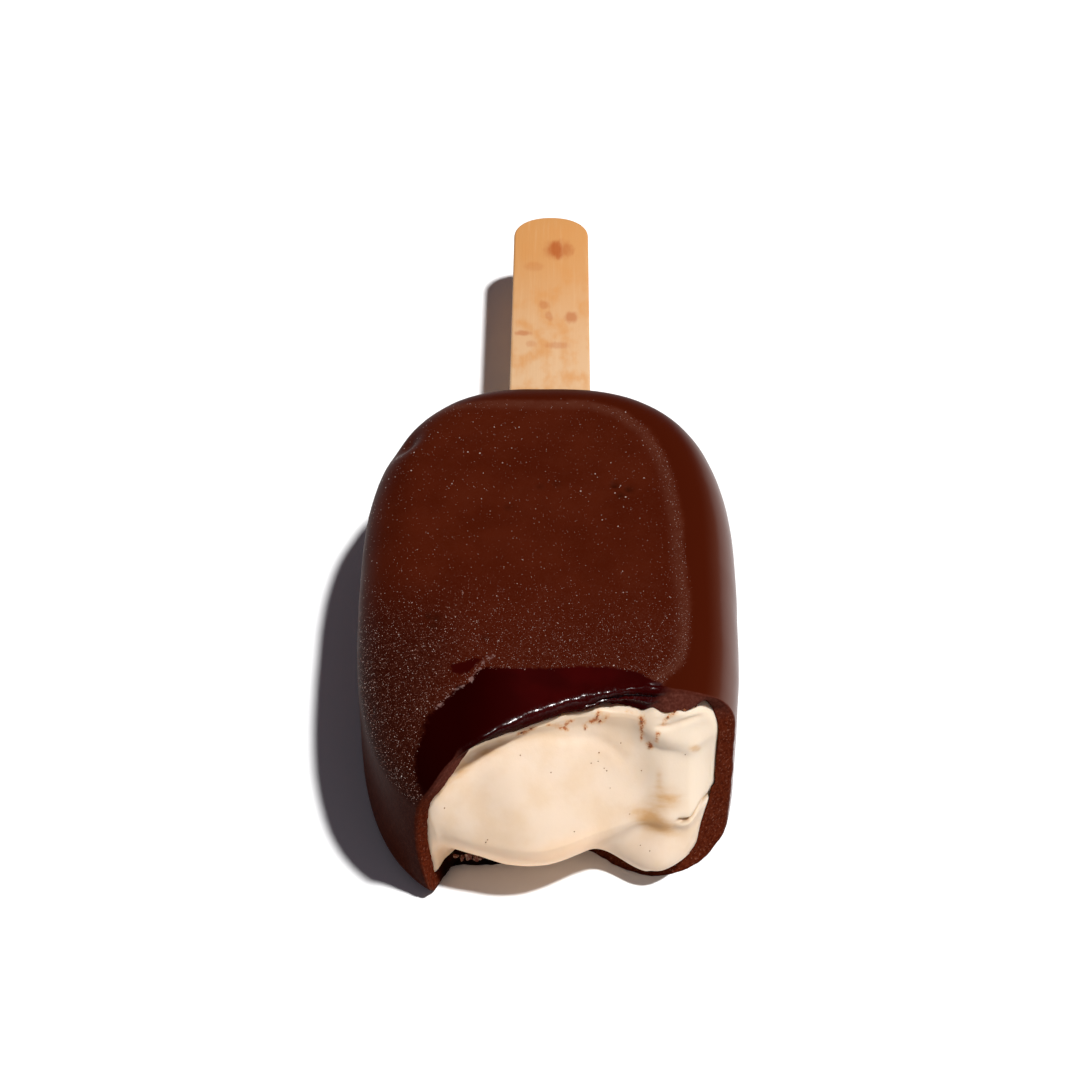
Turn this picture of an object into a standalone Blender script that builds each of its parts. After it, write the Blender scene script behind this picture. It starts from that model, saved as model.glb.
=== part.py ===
"""Ice cream bar on a flat wooden stick: chocolate coat over vanilla ice cream, one end bitten off.

The bar lies flat with its stick pointing along +Y and the bitten end along -Y. +X is across the
bar and +Z is up. It is modelled about its widest section, and one empty then carries every piece
so that the origin is under the middle of the whole object, on the surface it rests on.
"""
import math

import bmesh
import bpy
import numpy as np
from mathutils import Vector

MM = 0.001

# The uncut bar: a rounded block, seen from above as four superellipse quarters.
BAR_HALF_WIDTH = 22.8 * MM
BAR_THICKNESS = 22.8 * MM
REAR_LENGTH = 31.85 * MM          # widest section to the stick end
FRONT_LENGTH = 39.3 * MM          # widest section to the end that was bitten off
REAR_SQUARENESS = 2.68            # 2 is an ellipse, higher is squarer
FRONT_LEFT_SQUARENESS = 3.1
FRONT_RIGHT_SQUARENESS = 3.9
TOP_ROUNDING = 7.0 * MM
BOTTOM_ROUNDING = 3.0 * MM
OUTLINE_POINTS = 84
OUTLINE_STEPS = 4000              # steps along the outline before it is spaced evenly
TOP_ROUNDING_SEGMENTS = 7
BOTTOM_ROUNDING_SEGMENTS = 4

# The chocolate coat and the gap that separate solids keep.
COAT_WALL = 2.1 * MM
COAT_ROOF = 2.3 * MM
COAT_FLOOR = 2.0 * MM
PIECE_GAP = 0.3 * MM
INNER_BOTTOM_ROUNDING = 1.6 * MM

# The stick, with the distance from the widest section to each of its ends.
STICK_WIDTH = 11.2 * MM
STICK_TIP_WIDTH = 10.5 * MM       # the free half narrows a little
STICK_THICKNESS = 2.0 * MM
STICK_CENTRE_HEIGHT = 10.8 * MM
STICK_TIP = 76.7 * MM
STICK_BURIED_END = -17.4 * MM
STICK_END_SQUARENESS = 2.15
STICK_END_LENGTH = 4.3 * MM
STICK_END_POINTS = 14
STICK_EDGE_ROUNDING = 0.4 * MM

# Where the bite crosses the coat: (across, along) at the top, at half height and at the floor.
BITE_TOP = ((-15.2, -44.0), (-12.8, -36.3), (-7.0, -30.9), (-0.8, -27.1), (8.0, -24.3),
            (13.4, -23.7), (17.4, -24.0), (21.5, -22.2), (27.0, -19.5))
BITE_MIDDLE = ((-16.6, -44.0), (-14.4, -36.4), (-12.7, -34.0), (-10.5, -30.8), (-5.0, -29.0),
               (5.0, -27.0), (13.0, -28.4), (18.0, -26.9), (22.0, -24.4), (27.0, -21.0))
BITE_FLOOR = ((-13.6, -44.0), (-12.4, -36.6), (-11.6, -32.4), (-10.2, -30.0), (-4.0, -29.6),
              (5.6, -28.6), (8.6, -31.3), (12.8, -32.8), (17.0, -31.3), (21.5, -27.4),
              (27.0, -22.0))
BITE_HALF_SPAN = 26.0 * MM
BITE_FRONT = -46.0 * MM
BITE_OVERSHOOT = 1.0 * MM         # the cutters pass this far above and below the bar
COAT_BITE_CELLS = (72, 8)
ICE_BITE_CELLS = (44, 20)

# The ice cream stands back from the coat's cut edge, apart from two lumps pushed forward.
ICE_SETBACK = 0.9 * MM
BIG_LUMP_HEIGHT = 8.0 * MM        # height of its nose above the floor
BIG_LUMP_REACH = 8.9 * MM
BIG_LUMP_LEFT = 15.6 * MM
BIG_LUMP_RIGHT = 11.0 * MM
BIG_LUMP_SPREAD_UP = 6.0 * MM
BIG_LUMP_UNDERCUT = 5.7 * MM
SMALL_LUMP_CENTRE = (12.6 * MM, 3.4 * MM)
SMALL_LUMP_RADII = (3.8 * MM, 2.4 * MM)
SMALL_LUMP_REACH = 2.2 * MM

CHOCOLATE = (0.072, 0.012, 0.006)
VANILLA = (0.90, 0.78, 0.58)
BIRCH = (0.76, 0.47, 0.23)


def clear_objects():
    """Empty the scene."""
    for thing in list(bpy.data.objects):
        bpy.data.objects.remove(thing)


def new_collection(name):
    """Collection linked to the scene."""
    collection = bpy.data.collections.new(name)
    bpy.context.scene.collection.children.link(collection)
    return collection


def new_material(name, colour, roughness):
    """Principled material, not metallic."""
    material = bpy.data.materials.new(name)
    material.use_nodes = True
    shader = material.node_tree.nodes["Principled BSDF"]
    shader.inputs["Base Color"].default_value = (*colour, 1.0)
    shader.inputs["Roughness"].default_value = roughness
    shader.inputs["Metallic"].default_value = 0.0
    return material


def object_from_bmesh(name, bm, collection, parent):
    """Mesh object that holds bm, smooth where the surface turns gently."""
    mesh = bpy.data.meshes.new(name)
    bmesh.ops.recalc_face_normals(bm, faces=bm.faces[:])
    bm.to_mesh(mesh)
    bm.free()
    mesh.shade_smooth()
    mesh.set_sharp_from_angle(angle=math.radians(35))
    thing = bpy.data.objects.new(name, mesh)
    collection.objects.link(thing)
    thing.parent = parent
    return thing


def mark_as_cutter(thing):
    """Cutters show as wire and are left out of renders."""
    thing.display_type = "WIRE"
    thing.hide_render = True
    return thing


def subtract(target, cutter):
    """Cut one object out of another."""
    cut = target.modifiers.new("cut " + cutter.name, "BOOLEAN")
    cut.operation = "DIFFERENCE"
    cut.solver = "EXACT"
    cut.object = cutter


def line_through(points, across):
    """Smooth line through points sorted by their first value, read at across (both in mm)."""
    knot_x, knot_y = np.array(points).T
    across = np.clip(across, knot_x[0], knot_x[-1])
    slope = np.gradient(knot_y, knot_x)
    span = int(np.clip(np.searchsorted(knot_x, across) - 1, 0, len(knot_x) - 2))
    width = knot_x[span + 1] - knot_x[span]
    t = (across - knot_x[span]) / width
    start = (1 + 2 * t) * (1 - t) ** 2 * knot_y[span] + t * (1 - t) ** 2 * width * slope[span]
    end = t * t * (3 - 2 * t) * knot_y[span + 1] + t * t * (t - 1) * width * slope[span + 1]
    return start + end


def spaced_evenly(x, y, count):
    """Resample a closed outline at equal steps along its length."""
    x = np.append(x, x[0])
    y = np.append(y, y[0])
    length = np.concatenate([[0.0], np.cumsum(np.hypot(np.diff(x), np.diff(y)))])
    steps = np.linspace(0.0, length[-1], count, endpoint=False)
    return np.interp(steps, length, x), np.interp(steps, length, y)


def bar_outline(inset):
    """Outline of the uncut bar from above, moved inwards by inset."""
    turn = np.linspace(0.0, 2 * math.pi, OUTLINE_STEPS, endpoint=False)
    across, along = np.cos(turn), np.sin(turn)
    front_squareness = np.where(across > 0, FRONT_RIGHT_SQUARENESS, FRONT_LEFT_SQUARENESS)
    squareness = np.where(along >= 0, REAR_SQUARENESS, front_squareness)
    length = np.where(along >= 0, REAR_LENGTH, FRONT_LENGTH)
    x = BAR_HALF_WIDTH * np.sign(across) * np.abs(across) ** (2 / squareness)
    y = length * np.sign(along) * np.abs(along) ** (2 / squareness)
    x, y = spaced_evenly(x, y, OUTLINE_STEPS)
    run_x = np.roll(x, -1) - np.roll(x, 1)
    run_y = np.roll(y, -1) - np.roll(y, 1)
    run = np.hypot(run_x, run_y)
    return spaced_evenly(x - inset * run_y / run, y + inset * run_x / run, OUTLINE_POINTS)


def extruded_outline(x, y, bottom, top):
    """Solid of an outline between two heights, as a bmesh."""
    bm = bmesh.new()
    ring = [bm.verts.new((px, py, bottom)) for px, py in zip(x, y)]
    floor = bm.faces.new(ring)
    grown = bmesh.ops.extrude_face_region(bm, geom=[floor], use_keep_orig=True)
    roof = [item for item in grown["geom"] if isinstance(item, bmesh.types.BMVert)]
    bmesh.ops.translate(bm, verts=roof, vec=Vector((0.0, 0.0, top - bottom)))
    return bm


def round_rim(bm, height, radius, segments):
    """Round the horizontal edges that lie at a height."""
    rim = [edge for edge in bm.edges if all(abs(v.co.z - height) < 1e-6 for v in edge.verts)]
    bmesh.ops.bevel(bm, geom=rim, offset=radius, segments=segments, profile=0.5,
                    affect="EDGES", offset_type="OFFSET", clamp_overlap=False)


def rounded_block(inset, bottom, top, bottom_rounding, top_rounding):
    """The uncut bar, or its inside when inset is the thickness of the coat."""
    x, y = bar_outline(inset)
    bm = extruded_outline(x, y, bottom, top)
    round_rim(bm, top, top_rounding, TOP_ROUNDING_SEGMENTS)
    round_rim(bm, bottom, bottom_rounding, BOTTOM_ROUNDING_SEGMENTS)
    return bm


def coat_bite(across, height):
    """How far along the bar the bite reaches through the coat."""
    level = np.clip(height / BAR_THICKNESS, 0.0, 1.0)
    low = (1 - level) * (1 - 2 * level)
    middle = 4 * level * (1 - level)
    high = level * (2 * level - 1)
    lines = [line_through(line, across / MM) for line in (BITE_FLOOR, BITE_MIDDLE, BITE_TOP)]
    return MM * (low * lines[0] + middle * lines[1] + high * lines[2])


def big_lump(across, height):
    """The main mouthful left standing: it leans out over the floor and is undercut."""
    reach = BIG_LUMP_LEFT if across < 0 else BIG_LUMP_RIGHT
    sideways = math.cos(math.pi / 2 * min(1.0, abs(across) / reach))
    rise = height - BIG_LUMP_HEIGHT
    if rise > 0:
        upright = math.exp(-0.5 * (rise / BIG_LUMP_SPREAD_UP) ** 2)
    else:
        upright = math.sqrt(max(0.0, 1 - (rise / BIG_LUMP_UNDERCUT) ** 2))
    return BIG_LUMP_REACH * sideways * upright


def small_lump(across, height):
    """The lesser lump low on the right."""
    side = (across - SMALL_LUMP_CENTRE[0]) / SMALL_LUMP_RADII[0]
    rise = (height - SMALL_LUMP_CENTRE[1]) / SMALL_LUMP_RADII[1]
    return SMALL_LUMP_REACH * math.exp(-0.5 * (side * side + rise * rise))


def ice_bite(across, height):
    """How far along the bar the bite reaches into the ice cream."""
    base = coat_bite(across, height) + ICE_SETBACK
    return base - big_lump(across, height) - small_lump(across, height)


def bite_cutter(name, cells, reach, collection, parent):
    """Block in front of the bar whose back face is the bite surface."""
    low, high = -BITE_OVERSHOOT, BAR_THICKNESS + BITE_OVERSHOOT
    bm = bmesh.new()
    bmesh.ops.create_grid(bm, x_segments=cells[0], y_segments=cells[1], size=1.0)
    for vert in bm.verts:
        across = BITE_HALF_SPAN * vert.co.x
        height = low + (high - low) * (vert.co.y + 1) / 2
        vert.co = (across, reach(across, height), height)
    grown = bmesh.ops.extrude_face_region(bm, geom=bm.faces[:], use_keep_orig=True)
    for item in grown["geom"]:
        if isinstance(item, bmesh.types.BMVert):
            item.co.y = BITE_FRONT
    return mark_as_cutter(object_from_bmesh(name, bm, collection, parent))


def stick_solid(clearance):
    """The stick, its flat ends rounded, grown by clearance on every side."""
    turn = np.linspace(0.0, math.pi, STICK_END_POINTS)
    power = 2 / STICK_END_SQUARENESS
    bulge = (STICK_END_LENGTH + clearance) * np.sin(turn) ** power
    side = np.sign(np.cos(turn)) * np.abs(np.cos(turn)) ** power
    tip_x = side * (STICK_TIP_WIDTH / 2 + clearance)
    tip_y = STICK_TIP - STICK_END_LENGTH + bulge
    buried_x = -side * (STICK_WIDTH / 2 + clearance)
    buried_y = STICK_BURIED_END + STICK_END_LENGTH - bulge
    base_x = [STICK_WIDTH / 2 + clearance]
    base_y = [REAR_LENGTH]
    x = np.concatenate([tip_x, np.negative(base_x), buried_x, base_x])
    y = np.concatenate([tip_y, base_y, buried_y, base_y])
    half_thickness = STICK_THICKNESS / 2 + clearance
    return extruded_outline(x, y, STICK_CENTRE_HEIGHT - half_thickness,
                            STICK_CENTRE_HEIGHT + half_thickness)


def make_coat(bar, cutters, parent):
    """Chocolate shell, open where it was bitten and slotted for the stick."""
    outer = rounded_block(0.0, 0.0, BAR_THICKNESS, BOTTOM_ROUNDING, TOP_ROUNDING)
    coat = object_from_bmesh("chocolate_coat", outer, bar, parent)
    coat.data.materials.append(new_material("chocolate", CHOCOLATE, 0.35))
    hollow = rounded_block(COAT_WALL, COAT_FLOOR, BAR_THICKNESS - COAT_ROOF,
                           INNER_BOTTOM_ROUNDING, TOP_ROUNDING - COAT_WALL)
    subtract(coat, mark_as_cutter(object_from_bmesh("coat_hollow", hollow, cutters, parent)))
    subtract(coat, bite_cutter("coat_bite", COAT_BITE_CELLS, coat_bite, cutters, parent))
    slot = object_from_bmesh("stick_slot", stick_solid(PIECE_GAP), cutters, parent)
    subtract(coat, mark_as_cutter(slot))
    return slot


def make_ice_cream(bar, cutters, parent, slot):
    """Vanilla ice cream that fills the coat, with the bite's lumps on its open end."""
    core = rounded_block(COAT_WALL + PIECE_GAP, COAT_FLOOR + PIECE_GAP,
                         BAR_THICKNESS - COAT_ROOF - PIECE_GAP,
                         INNER_BOTTOM_ROUNDING, TOP_ROUNDING - COAT_WALL - PIECE_GAP)
    ice_cream = object_from_bmesh("ice_cream", core, bar, parent)
    ice_cream.data.materials.append(new_material("vanilla ice cream", VANILLA, 0.6))
    subtract(ice_cream, bite_cutter("ice_bite", ICE_BITE_CELLS, ice_bite, cutters, parent))
    subtract(ice_cream, slot)


def make_stick(bar, parent):
    """Birch stick with lightly rounded edges."""
    stick = object_from_bmesh("stick", stick_solid(0.0), bar, parent)
    stick.data.materials.append(new_material("birch", BIRCH, 0.7))
    edges = stick.modifiers.new("soft edges", "BEVEL")
    edges.width = STICK_EDGE_ROUNDING
    edges.segments = 2
    edges.limit_method = "ANGLE"
    edges.angle_limit = math.radians(60)


def centre_on_origin(parent, bar):
    """Slide everything along Y until the object's middle is over the origin."""
    bpy.context.view_layer.update()
    depsgraph = bpy.context.evaluated_depsgraph_get()
    reach = []
    for thing in bar.objects:
        if thing.type != "MESH":
            continue
        corners = thing.evaluated_get(depsgraph).bound_box
        reach += [(thing.matrix_world @ Vector(corner)).y for corner in corners]
    parent.location.y = -(min(reach) + max(reach)) / 2
    bpy.context.view_layer.update()


def main():
    clear_objects()
    bar = new_collection("ice_cream_bar")
    cutters = new_collection("cutters")
    middle = bpy.data.objects.new("bar_middle", None)
    bar.objects.link(middle)
    slot = make_coat(bar, cutters, middle)
    make_ice_cream(bar, cutters, middle, slot)
    make_stick(bar, middle)
    centre_on_origin(middle, bar)


main()
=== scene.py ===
"""Ice cream bar with one end bitten off: a chocolate coat, vanilla ice cream and a birch stick.

Shapes are worked out in bar millimetres: X across the bar, Y along it from its widest section
towards the free end of the stick, and Z up from the surface that it lies on. Each piece is put
in its place in the frame, in metres, when its mesh is filled in.
"""

import math

import bpy
import numpy as np
from bpy.props import FloatProperty, FloatVectorProperty, IntProperty, PointerProperty
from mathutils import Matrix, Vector, noise


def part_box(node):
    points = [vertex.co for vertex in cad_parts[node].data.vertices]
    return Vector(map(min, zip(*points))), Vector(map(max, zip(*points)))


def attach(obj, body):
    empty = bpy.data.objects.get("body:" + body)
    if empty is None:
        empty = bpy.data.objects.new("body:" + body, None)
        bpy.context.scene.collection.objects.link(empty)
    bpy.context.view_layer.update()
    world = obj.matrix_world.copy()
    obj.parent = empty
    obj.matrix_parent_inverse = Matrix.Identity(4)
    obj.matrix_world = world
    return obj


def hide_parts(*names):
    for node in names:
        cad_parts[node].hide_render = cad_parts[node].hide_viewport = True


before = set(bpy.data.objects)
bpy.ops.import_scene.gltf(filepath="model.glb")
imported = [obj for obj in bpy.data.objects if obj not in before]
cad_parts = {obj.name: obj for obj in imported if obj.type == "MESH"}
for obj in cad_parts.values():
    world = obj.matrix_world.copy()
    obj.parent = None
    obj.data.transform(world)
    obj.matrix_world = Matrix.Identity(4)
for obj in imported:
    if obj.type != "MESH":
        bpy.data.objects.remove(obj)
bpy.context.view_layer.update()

bl_info = {
    "name": "Bitten Ice Cream Bar",
    "version": (1, 0, 0),
    "blender": (4, 5, 0),
    "location": "3D View > Sidebar > Ice Cream Bar",
    "description": "Models a chocolate coated ice cream bar with one end bitten off",
    "category": "Add Mesh",
}

MM = 0.001
BODY = "root"


def node_box(node):
    """Lowest and highest corner of a CAD node in millimetres."""
    low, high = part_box(node)
    return np.array(low) / MM, np.array(high) / MM


COAT_HIGH = node_box("chocolate_coat")[1]
STICK_LOW, STICK_HIGH = node_box("stick")

# The uncut bar: a rounded block, seen from above as four superellipse quarters.
HALF_WIDTH = COAT_HIGH[0]
THICKNESS = COAT_HIGH[2]
REAR_LENGTH = 31.85               # widest section to the stick end
FRONT_LENGTH = 39.3               # widest section to the end that was bitten off
REAR_SQUARENESS = 2.68            # 2 is an ellipse, higher is squarer
FRONT_LEFT_SQUARENESS = 3.1
FRONT_RIGHT_SQUARENESS = 3.9
TOP_ROUNDING = 7.0
BOTTOM_ROUNDING = 3.0
MIDDLE = COAT_HIGH[1] - REAR_LENGTH   # where the widest section lies in the frame

# The stick as the CAD model has it.
STICK_WIDTH = STICK_HIGH[0] - STICK_LOW[0]
STICK_TIP_WIDTH = 10.5
STICK_THICKNESS = STICK_HIGH[2] - STICK_LOW[2]
STICK_HEIGHT = (STICK_HIGH[2] + STICK_LOW[2]) / 2
STICK_TIP = STICK_HIGH[1] - MIDDLE
STICK_BURIED_END = STICK_LOW[1] - MIDDLE
STICK_END_LENGTH = 4.3
STICK_END_SQUARENESS = 2.15
STICK_SECTION_SQUARENESS = 9.0
STICK_EDGE = 0.34                 # rounding of its edges
STICK_AROUND = 160                # points round its outline

# Where the bite crosses the coat: (across, along) at the top, at half height and at the floor.
BITE_TOP = ((-16.0, -39.6), (-13.6, -38.0), (-12.2, -36.1), (-10.4, -34.2), (-7.0, -31.1),
            (-0.8, -27.1), (8.0, -24.1), (10.6, -23.5), (13.4, -23.6), (17.4, -23.8), (21.5, -22.2),
            (27.0, -19.5))
BITE_MIDDLE = ((-16.8, -37.4), (-14.9, -35.6), (-12.8, -34.1), (-10.5, -30.8), (-5.0, -29.0),
               (5.0, -27.0), (13.0, -28.4), (18.0, -26.9), (22.0, -24.4), (27.0, -21.0))
BITE_FLOOR = ((-15.6, -38.9), (-14.4, -38.5), (-13.6, -37.5), (-12.9, -34.8), (-12.2, -32.2),
              (-11.0, -31.4), (-8.0, -31.3), (-5.5, -31.0), (-2.5, -29.8), (0.5, -29.2),
              (5.2, -29.1), (8.6, -31.4), (12.8, -32.7), (17.0, -31.4), (21.5, -27.6),
              (27.0, -22.0))

# How far the underside of the coat's roof leans back at the bite, or forward where it is less
# than 0: (across, back).
LIP_LEAN = ((-14.0, 0.0), (-12.6, -0.7), (-11.0, -0.9), (-9.7, -0.4), (-8.4, 0.8), (-7.4, 1.0),
            (-5.2, 0.8), (-2.4, 0.25), (0.6, 0.35), (2.6, 0.7), (4.6, 0.4), (6.6, 1.3),
            (8.6, 1.2), (9.6, 0.7), (10.7, 0.1), (12.2, -0.1), (13.0, -0.8), (13.7, -1.0),
            (14.9, -0.8), (16.4, -0.4), (17.1, 0.6), (17.9, 1.6), (18.8, 1.5), (19.6, 1.0),
            (21.0, 0.4))
SHARP_EDGE = 0.22                 # rounding of a bitten edge that hasn't melted
SLOT_GAP = 0.05                   # between the stick and what it stands in
ICE_GAP = 0.03                    # between the ice cream and the coat's inside
RIM_SET_BACK = 0.3                # how far the ice cream stands back where it meets the coat

# How the skins are divided into rows of points, each row once round the bar.
COAT_AROUND = 400
ICE_AROUND = 300
FRONT_ROWS = 42                   # from the bite back to where the bar is whole
MIDDLE_ROWS = 64
END_ROWS = 56                     # from there round to the stick
HIDDEN_ROWS = 12                  # the same inside, where little shows
HIDDEN_MIDDLE_ROWS = 9
ICE_FRONT_ROWS = 104              # from the middle of the bitten ice cream out to its rim
POCKET_ROWS = 8
HUB_X = 4.0                       # middle of the bitten opening
HUB_HEIGHT = 11.0
BACK_OF_BITE = -14.0              # along the bar, like the next two
START_OF_END = 14.0
END_HUB = 8.0
LIP_NARROWING = 1.25              # the full section is this much wider than the opening
LIP_PROBES = 2600                 # directions in which a bitten edge is looked for


def colour_setting(name, description, default):
    return FloatVectorProperty(name=name, description=description, default=default, size=3,
                               min=0, max=1, subtype="COLOR")


class BarSettings(bpy.types.PropertyGroup):
    """Sizes and colours that can be changed."""

    coat_thickness: FloatProperty(
        name="Coat Thickness", description="Thickness of the chocolate",
        default=2.1 * MM, min=0.5 * MM, max=4 * MM, subtype="DISTANCE", unit="LENGTH")
    lip_rounding: FloatProperty(
        name="Melted Lip", description="How round warmth has made the bitten edge on top",
        default=1.05 * MM, min=0.1 * MM, max=1.05 * MM, subtype="DISTANCE", unit="LENGTH")
    frost_count: IntProperty(
        name="Frost Crystals", description="Number of ice crystals on the chocolate",
        default=9000, min=0, max=9900)
    chocolate: colour_setting(
        "Chocolate", "Colour of the chocolate under its frost", (0.0485, 0.0058, 0.0014))
    wiped_chocolate: colour_setting(
        "Wiped Chocolate", "Colour of the chocolate that lips have wiped clean",
        (0.0200, 0.0004, 0.0003))
    broken_chocolate: colour_setting(
        "Broken Chocolate", "Colour of the chocolate where it is bitten through",
        (0.044, 0.0052, 0.0013))
    frost: colour_setting("Frost", "Colour of the ice crystals", (0.62, 0.50, 0.45))
    vanilla: colour_setting("Vanilla", "Colour of the ice cream", (0.66, 0.525, 0.395))
    smear: colour_setting(
        "Smears", "Colour of the chocolate smeared into the ice cream", (0.36, 0.085, 0.012))
    birch: colour_setting("Birch", "Colour of the stick", (0.54, 0.285, 0.115))
    key_strength: FloatProperty(
        name="Key Light", description="Strength of the main light",
        default=4.6, min=0, max=20)


def settings():
    return bpy.context.scene.ice_cream_bar


def plain_wall():
    """Thickness of the coat away from the bite."""
    return settings().coat_thickness / MM


# ---------------------------------------------------------------- shapes in numbers


def smooth(start, end, value):
    """Smooth rise from 0 at start to 1 at end."""
    share = np.clip((value - start) / (end - start), 0.0, 1.0)
    return share * share * (3 - 2 * share)


def between(start, full, fading, end, value):
    """1 from full to fading, falling smoothly to 0 at start and at end."""
    return smooth(start, full, value) * smooth(end, fading, value)


def dome(distance, power=1.0):
    """1 at the middle, falling to 0 at distance 1."""
    return np.clip(1 - distance * distance, 0.0, 1.0) ** power


def bell(distance, width):
    """1 at the middle, dying away within about two widths."""
    return np.exp(-(distance / width) ** 2)


def unit(vectors):
    return vectors / np.maximum(np.linalg.norm(vectors, axis=-1, keepdims=True), 1e-9)


def grain(points, size, salt=0.0):
    """Smooth random field, from about -1 to 1, whose lumps are a size across."""
    flat = points.reshape(-1, 3) / size + salt
    values = [noise.noise(Vector(point)) for point in flat]
    return np.array(values).reshape(points.shape[:-1])


def line_through(knots, across):
    """Smooth line through knots sorted by their first value, read at across."""
    knot_x, knot_y = np.array(knots).T
    slope = np.gradient(knot_y, knot_x)
    across = np.clip(across, knot_x[0], knot_x[-1])
    span = np.clip(np.searchsorted(knot_x, across) - 1, 0, len(knot_x) - 2)
    width = knot_x[span + 1] - knot_x[span]
    t = (across - knot_x[span]) / width
    start = (1 + 2 * t) * (1 - t) ** 2 * knot_y[span] + t * (1 - t) ** 2 * width * slope[span]
    end = t * t * (3 - 2 * t) * knot_y[span + 1] + t * t * (t - 1) * width * slope[span + 1]
    return start + end


def spaced_evenly(x, y, count):
    """Closed outline in equal steps along its length."""
    x = np.append(x, x[0])
    y = np.append(y, y[0])
    length = np.concatenate([[0.0], np.cumsum(np.hypot(np.diff(x), np.diff(y)))])
    steps = np.linspace(0.0, length[-1], count, endpoint=False)
    return np.interp(steps, length, x), np.interp(steps, length, y)


def signed_power(value, power):
    return np.sign(value) * np.abs(value) ** power


def rounded_rectangle(half_width, half_height, squareness, count):
    """Even steps round a superellipse, from the middle of its lower side, turning to +X."""
    turn = np.linspace(-math.pi / 2, 1.5 * math.pi, 6000, endpoint=False)
    cos, sin = np.cos(turn), np.sin(turn)
    x = half_width * signed_power(cos, 2 / squareness)
    y = half_height * signed_power(sin, 2 / squareness)
    return spaced_evenly(x, y, count)


def halved(low, high, beyond, times):
    """Narrow down where, between low and high, a test starts to be true."""
    for _ in range(times):
        middle = (low + high) / 2
        met = beyond(middle)
        high = np.where(met, middle, high)
        low = np.where(met, low, middle)
    return high


class BarSkin:
    """Skin of the uncut bar, as a distance that can be asked for anywhere."""

    POINTS = 900
    STRIDE = 12

    def __init__(self):
        turn = np.linspace(0.0, 2 * math.pi, 40000, endpoint=False)
        cos, sin = np.cos(turn), np.sin(turn)
        front = np.where(cos > 0, FRONT_RIGHT_SQUARENESS, FRONT_LEFT_SQUARENESS)
        power = 2 / np.where(sin >= 0, REAR_SQUARENESS, front)
        length = np.where(sin >= 0, REAR_LENGTH, FRONT_LENGTH)
        x = HALF_WIDTH * signed_power(cos, power)
        y = length * signed_power(sin, power)
        self.x, self.y = spaced_evenly(x, y, self.POINTS)
        run_x = (np.roll(self.x, -1) - np.roll(self.x, 1)) / 2
        run_y = (np.roll(self.y, -1) - np.roll(self.y, 1)) / 2
        self.step = np.hypot(run_x, run_y)
        self.tangent_x = run_x / self.step
        self.tangent_y = run_y / self.step
        heading = np.unwrap(np.arctan2(self.tangent_y, self.tangent_x))
        ahead = np.append(heading[1:], heading[0] + 2 * math.pi)
        behind = np.append(heading[-1] - 2 * math.pi, heading[:-1])
        self.bend = (ahead - behind) / (2 * self.step)

    def outline_distance(self, x, y):
        """Signed distance to the outline seen from above, positive outside."""
        shape = x.shape
        x, y = x.ravel(), y.ravel()
        coarse_x, coarse_y = self.x[::self.STRIDE], self.y[::self.STRIDE]
        gap = (x[:, None] - coarse_x) ** 2 + (y[:, None] - coarse_y) ** 2
        near = gap.argmin(axis=1) * self.STRIDE
        for _ in range(3):
            out, run = self.local(x, y, near)
            lead = run / np.maximum(1 + self.bend[near] * out, 0.25) / self.step[near]
            moved = np.clip(np.rint(lead), -self.STRIDE, self.STRIDE).astype(int)
            near = (near + moved) % self.POINTS
        out, run = self.local(x, y, near)
        bend = self.bend[near]
        root = np.hypot(1 + bend * out, bend * run)
        return ((2 * out + bend * (out * out + run * run)) / (1 + root)).reshape(shape)

    def local(self, x, y, near):
        """Distance out from and along the outline at its nearest point."""
        gap_x, gap_y = x - self.x[near], y - self.y[near]
        tangent_x, tangent_y = self.tangent_x[near], self.tangent_y[near]
        return gap_x * tangent_y - gap_y * tangent_x, gap_x * tangent_x + gap_y * tangent_y

    def distance(self, x, y, z):
        """Signed distance to the skin, negative inside the bar."""
        upper = z > THICKNESS / 2
        rounding = np.where(upper, TOP_ROUNDING, BOTTOM_ROUNDING)
        side = self.outline_distance(x, y) + rounding
        rise = np.where(upper, z - THICKNESS, -z) + rounding
        outside = np.hypot(np.maximum(side, 0), np.maximum(rise, 0))
        return outside + np.minimum(np.maximum(side, rise), 0) - rounding

    def reach(self, start, aim, depth=0.0):
        """Where lines from start through aim cross the layer a depth below the skin."""

        def outside(share):
            point = start + (aim - start) * share[..., None]
            return self.distance(*np.moveaxis(point, -1, 0)) > -depth

        share = halved(np.zeros(aim.shape[:-1]), np.full(aim.shape[:-1], 2.5), outside, 26)
        return start + (aim - start) * share[..., None]

    def section(self, along, count):
        """Even steps round the bar where it is crossed at a distance along it."""
        turn = np.linspace(-math.pi / 2, 1.5 * math.pi, 1200, endpoint=False)
        hub = np.array([0.0, along, HUB_HEIGHT])
        spokes = np.stack([np.cos(turn), 0 * turn, np.sin(turn)], axis=-1)
        met = self.reach(np.broadcast_to(hub, spokes.shape), hub + 15 * spokes)
        x, z = spaced_evenly(met[:, 0], met[:, 2], count)
        return np.stack([x, np.full(count, along), z], axis=-1)


SKIN = BarSkin()


def coat_bite(across, height):
    """How far along the bar the bite reaches through the coat."""
    level = np.clip(height / THICKNESS, 0.0, 1.0)
    low = (1 - level) * (1 - 2 * level) * line_through(BITE_FLOOR, across)
    middle = 4 * level * (1 - level) * line_through(BITE_MIDDLE, across)
    high = level * (2 * level - 1) * line_through(BITE_TOP, across)
    return low + middle + high


def near_roof(height):
    """1 at the underside of the coat's roof, 0 well below it."""
    return smooth(16.0, 19.3, height)


def inner_bite(across, height):
    """The same on the inside of the coat, whose roof leans."""
    return coat_bite(across, height) + line_through(LIP_LEAN, across) * near_roof(height)


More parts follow.
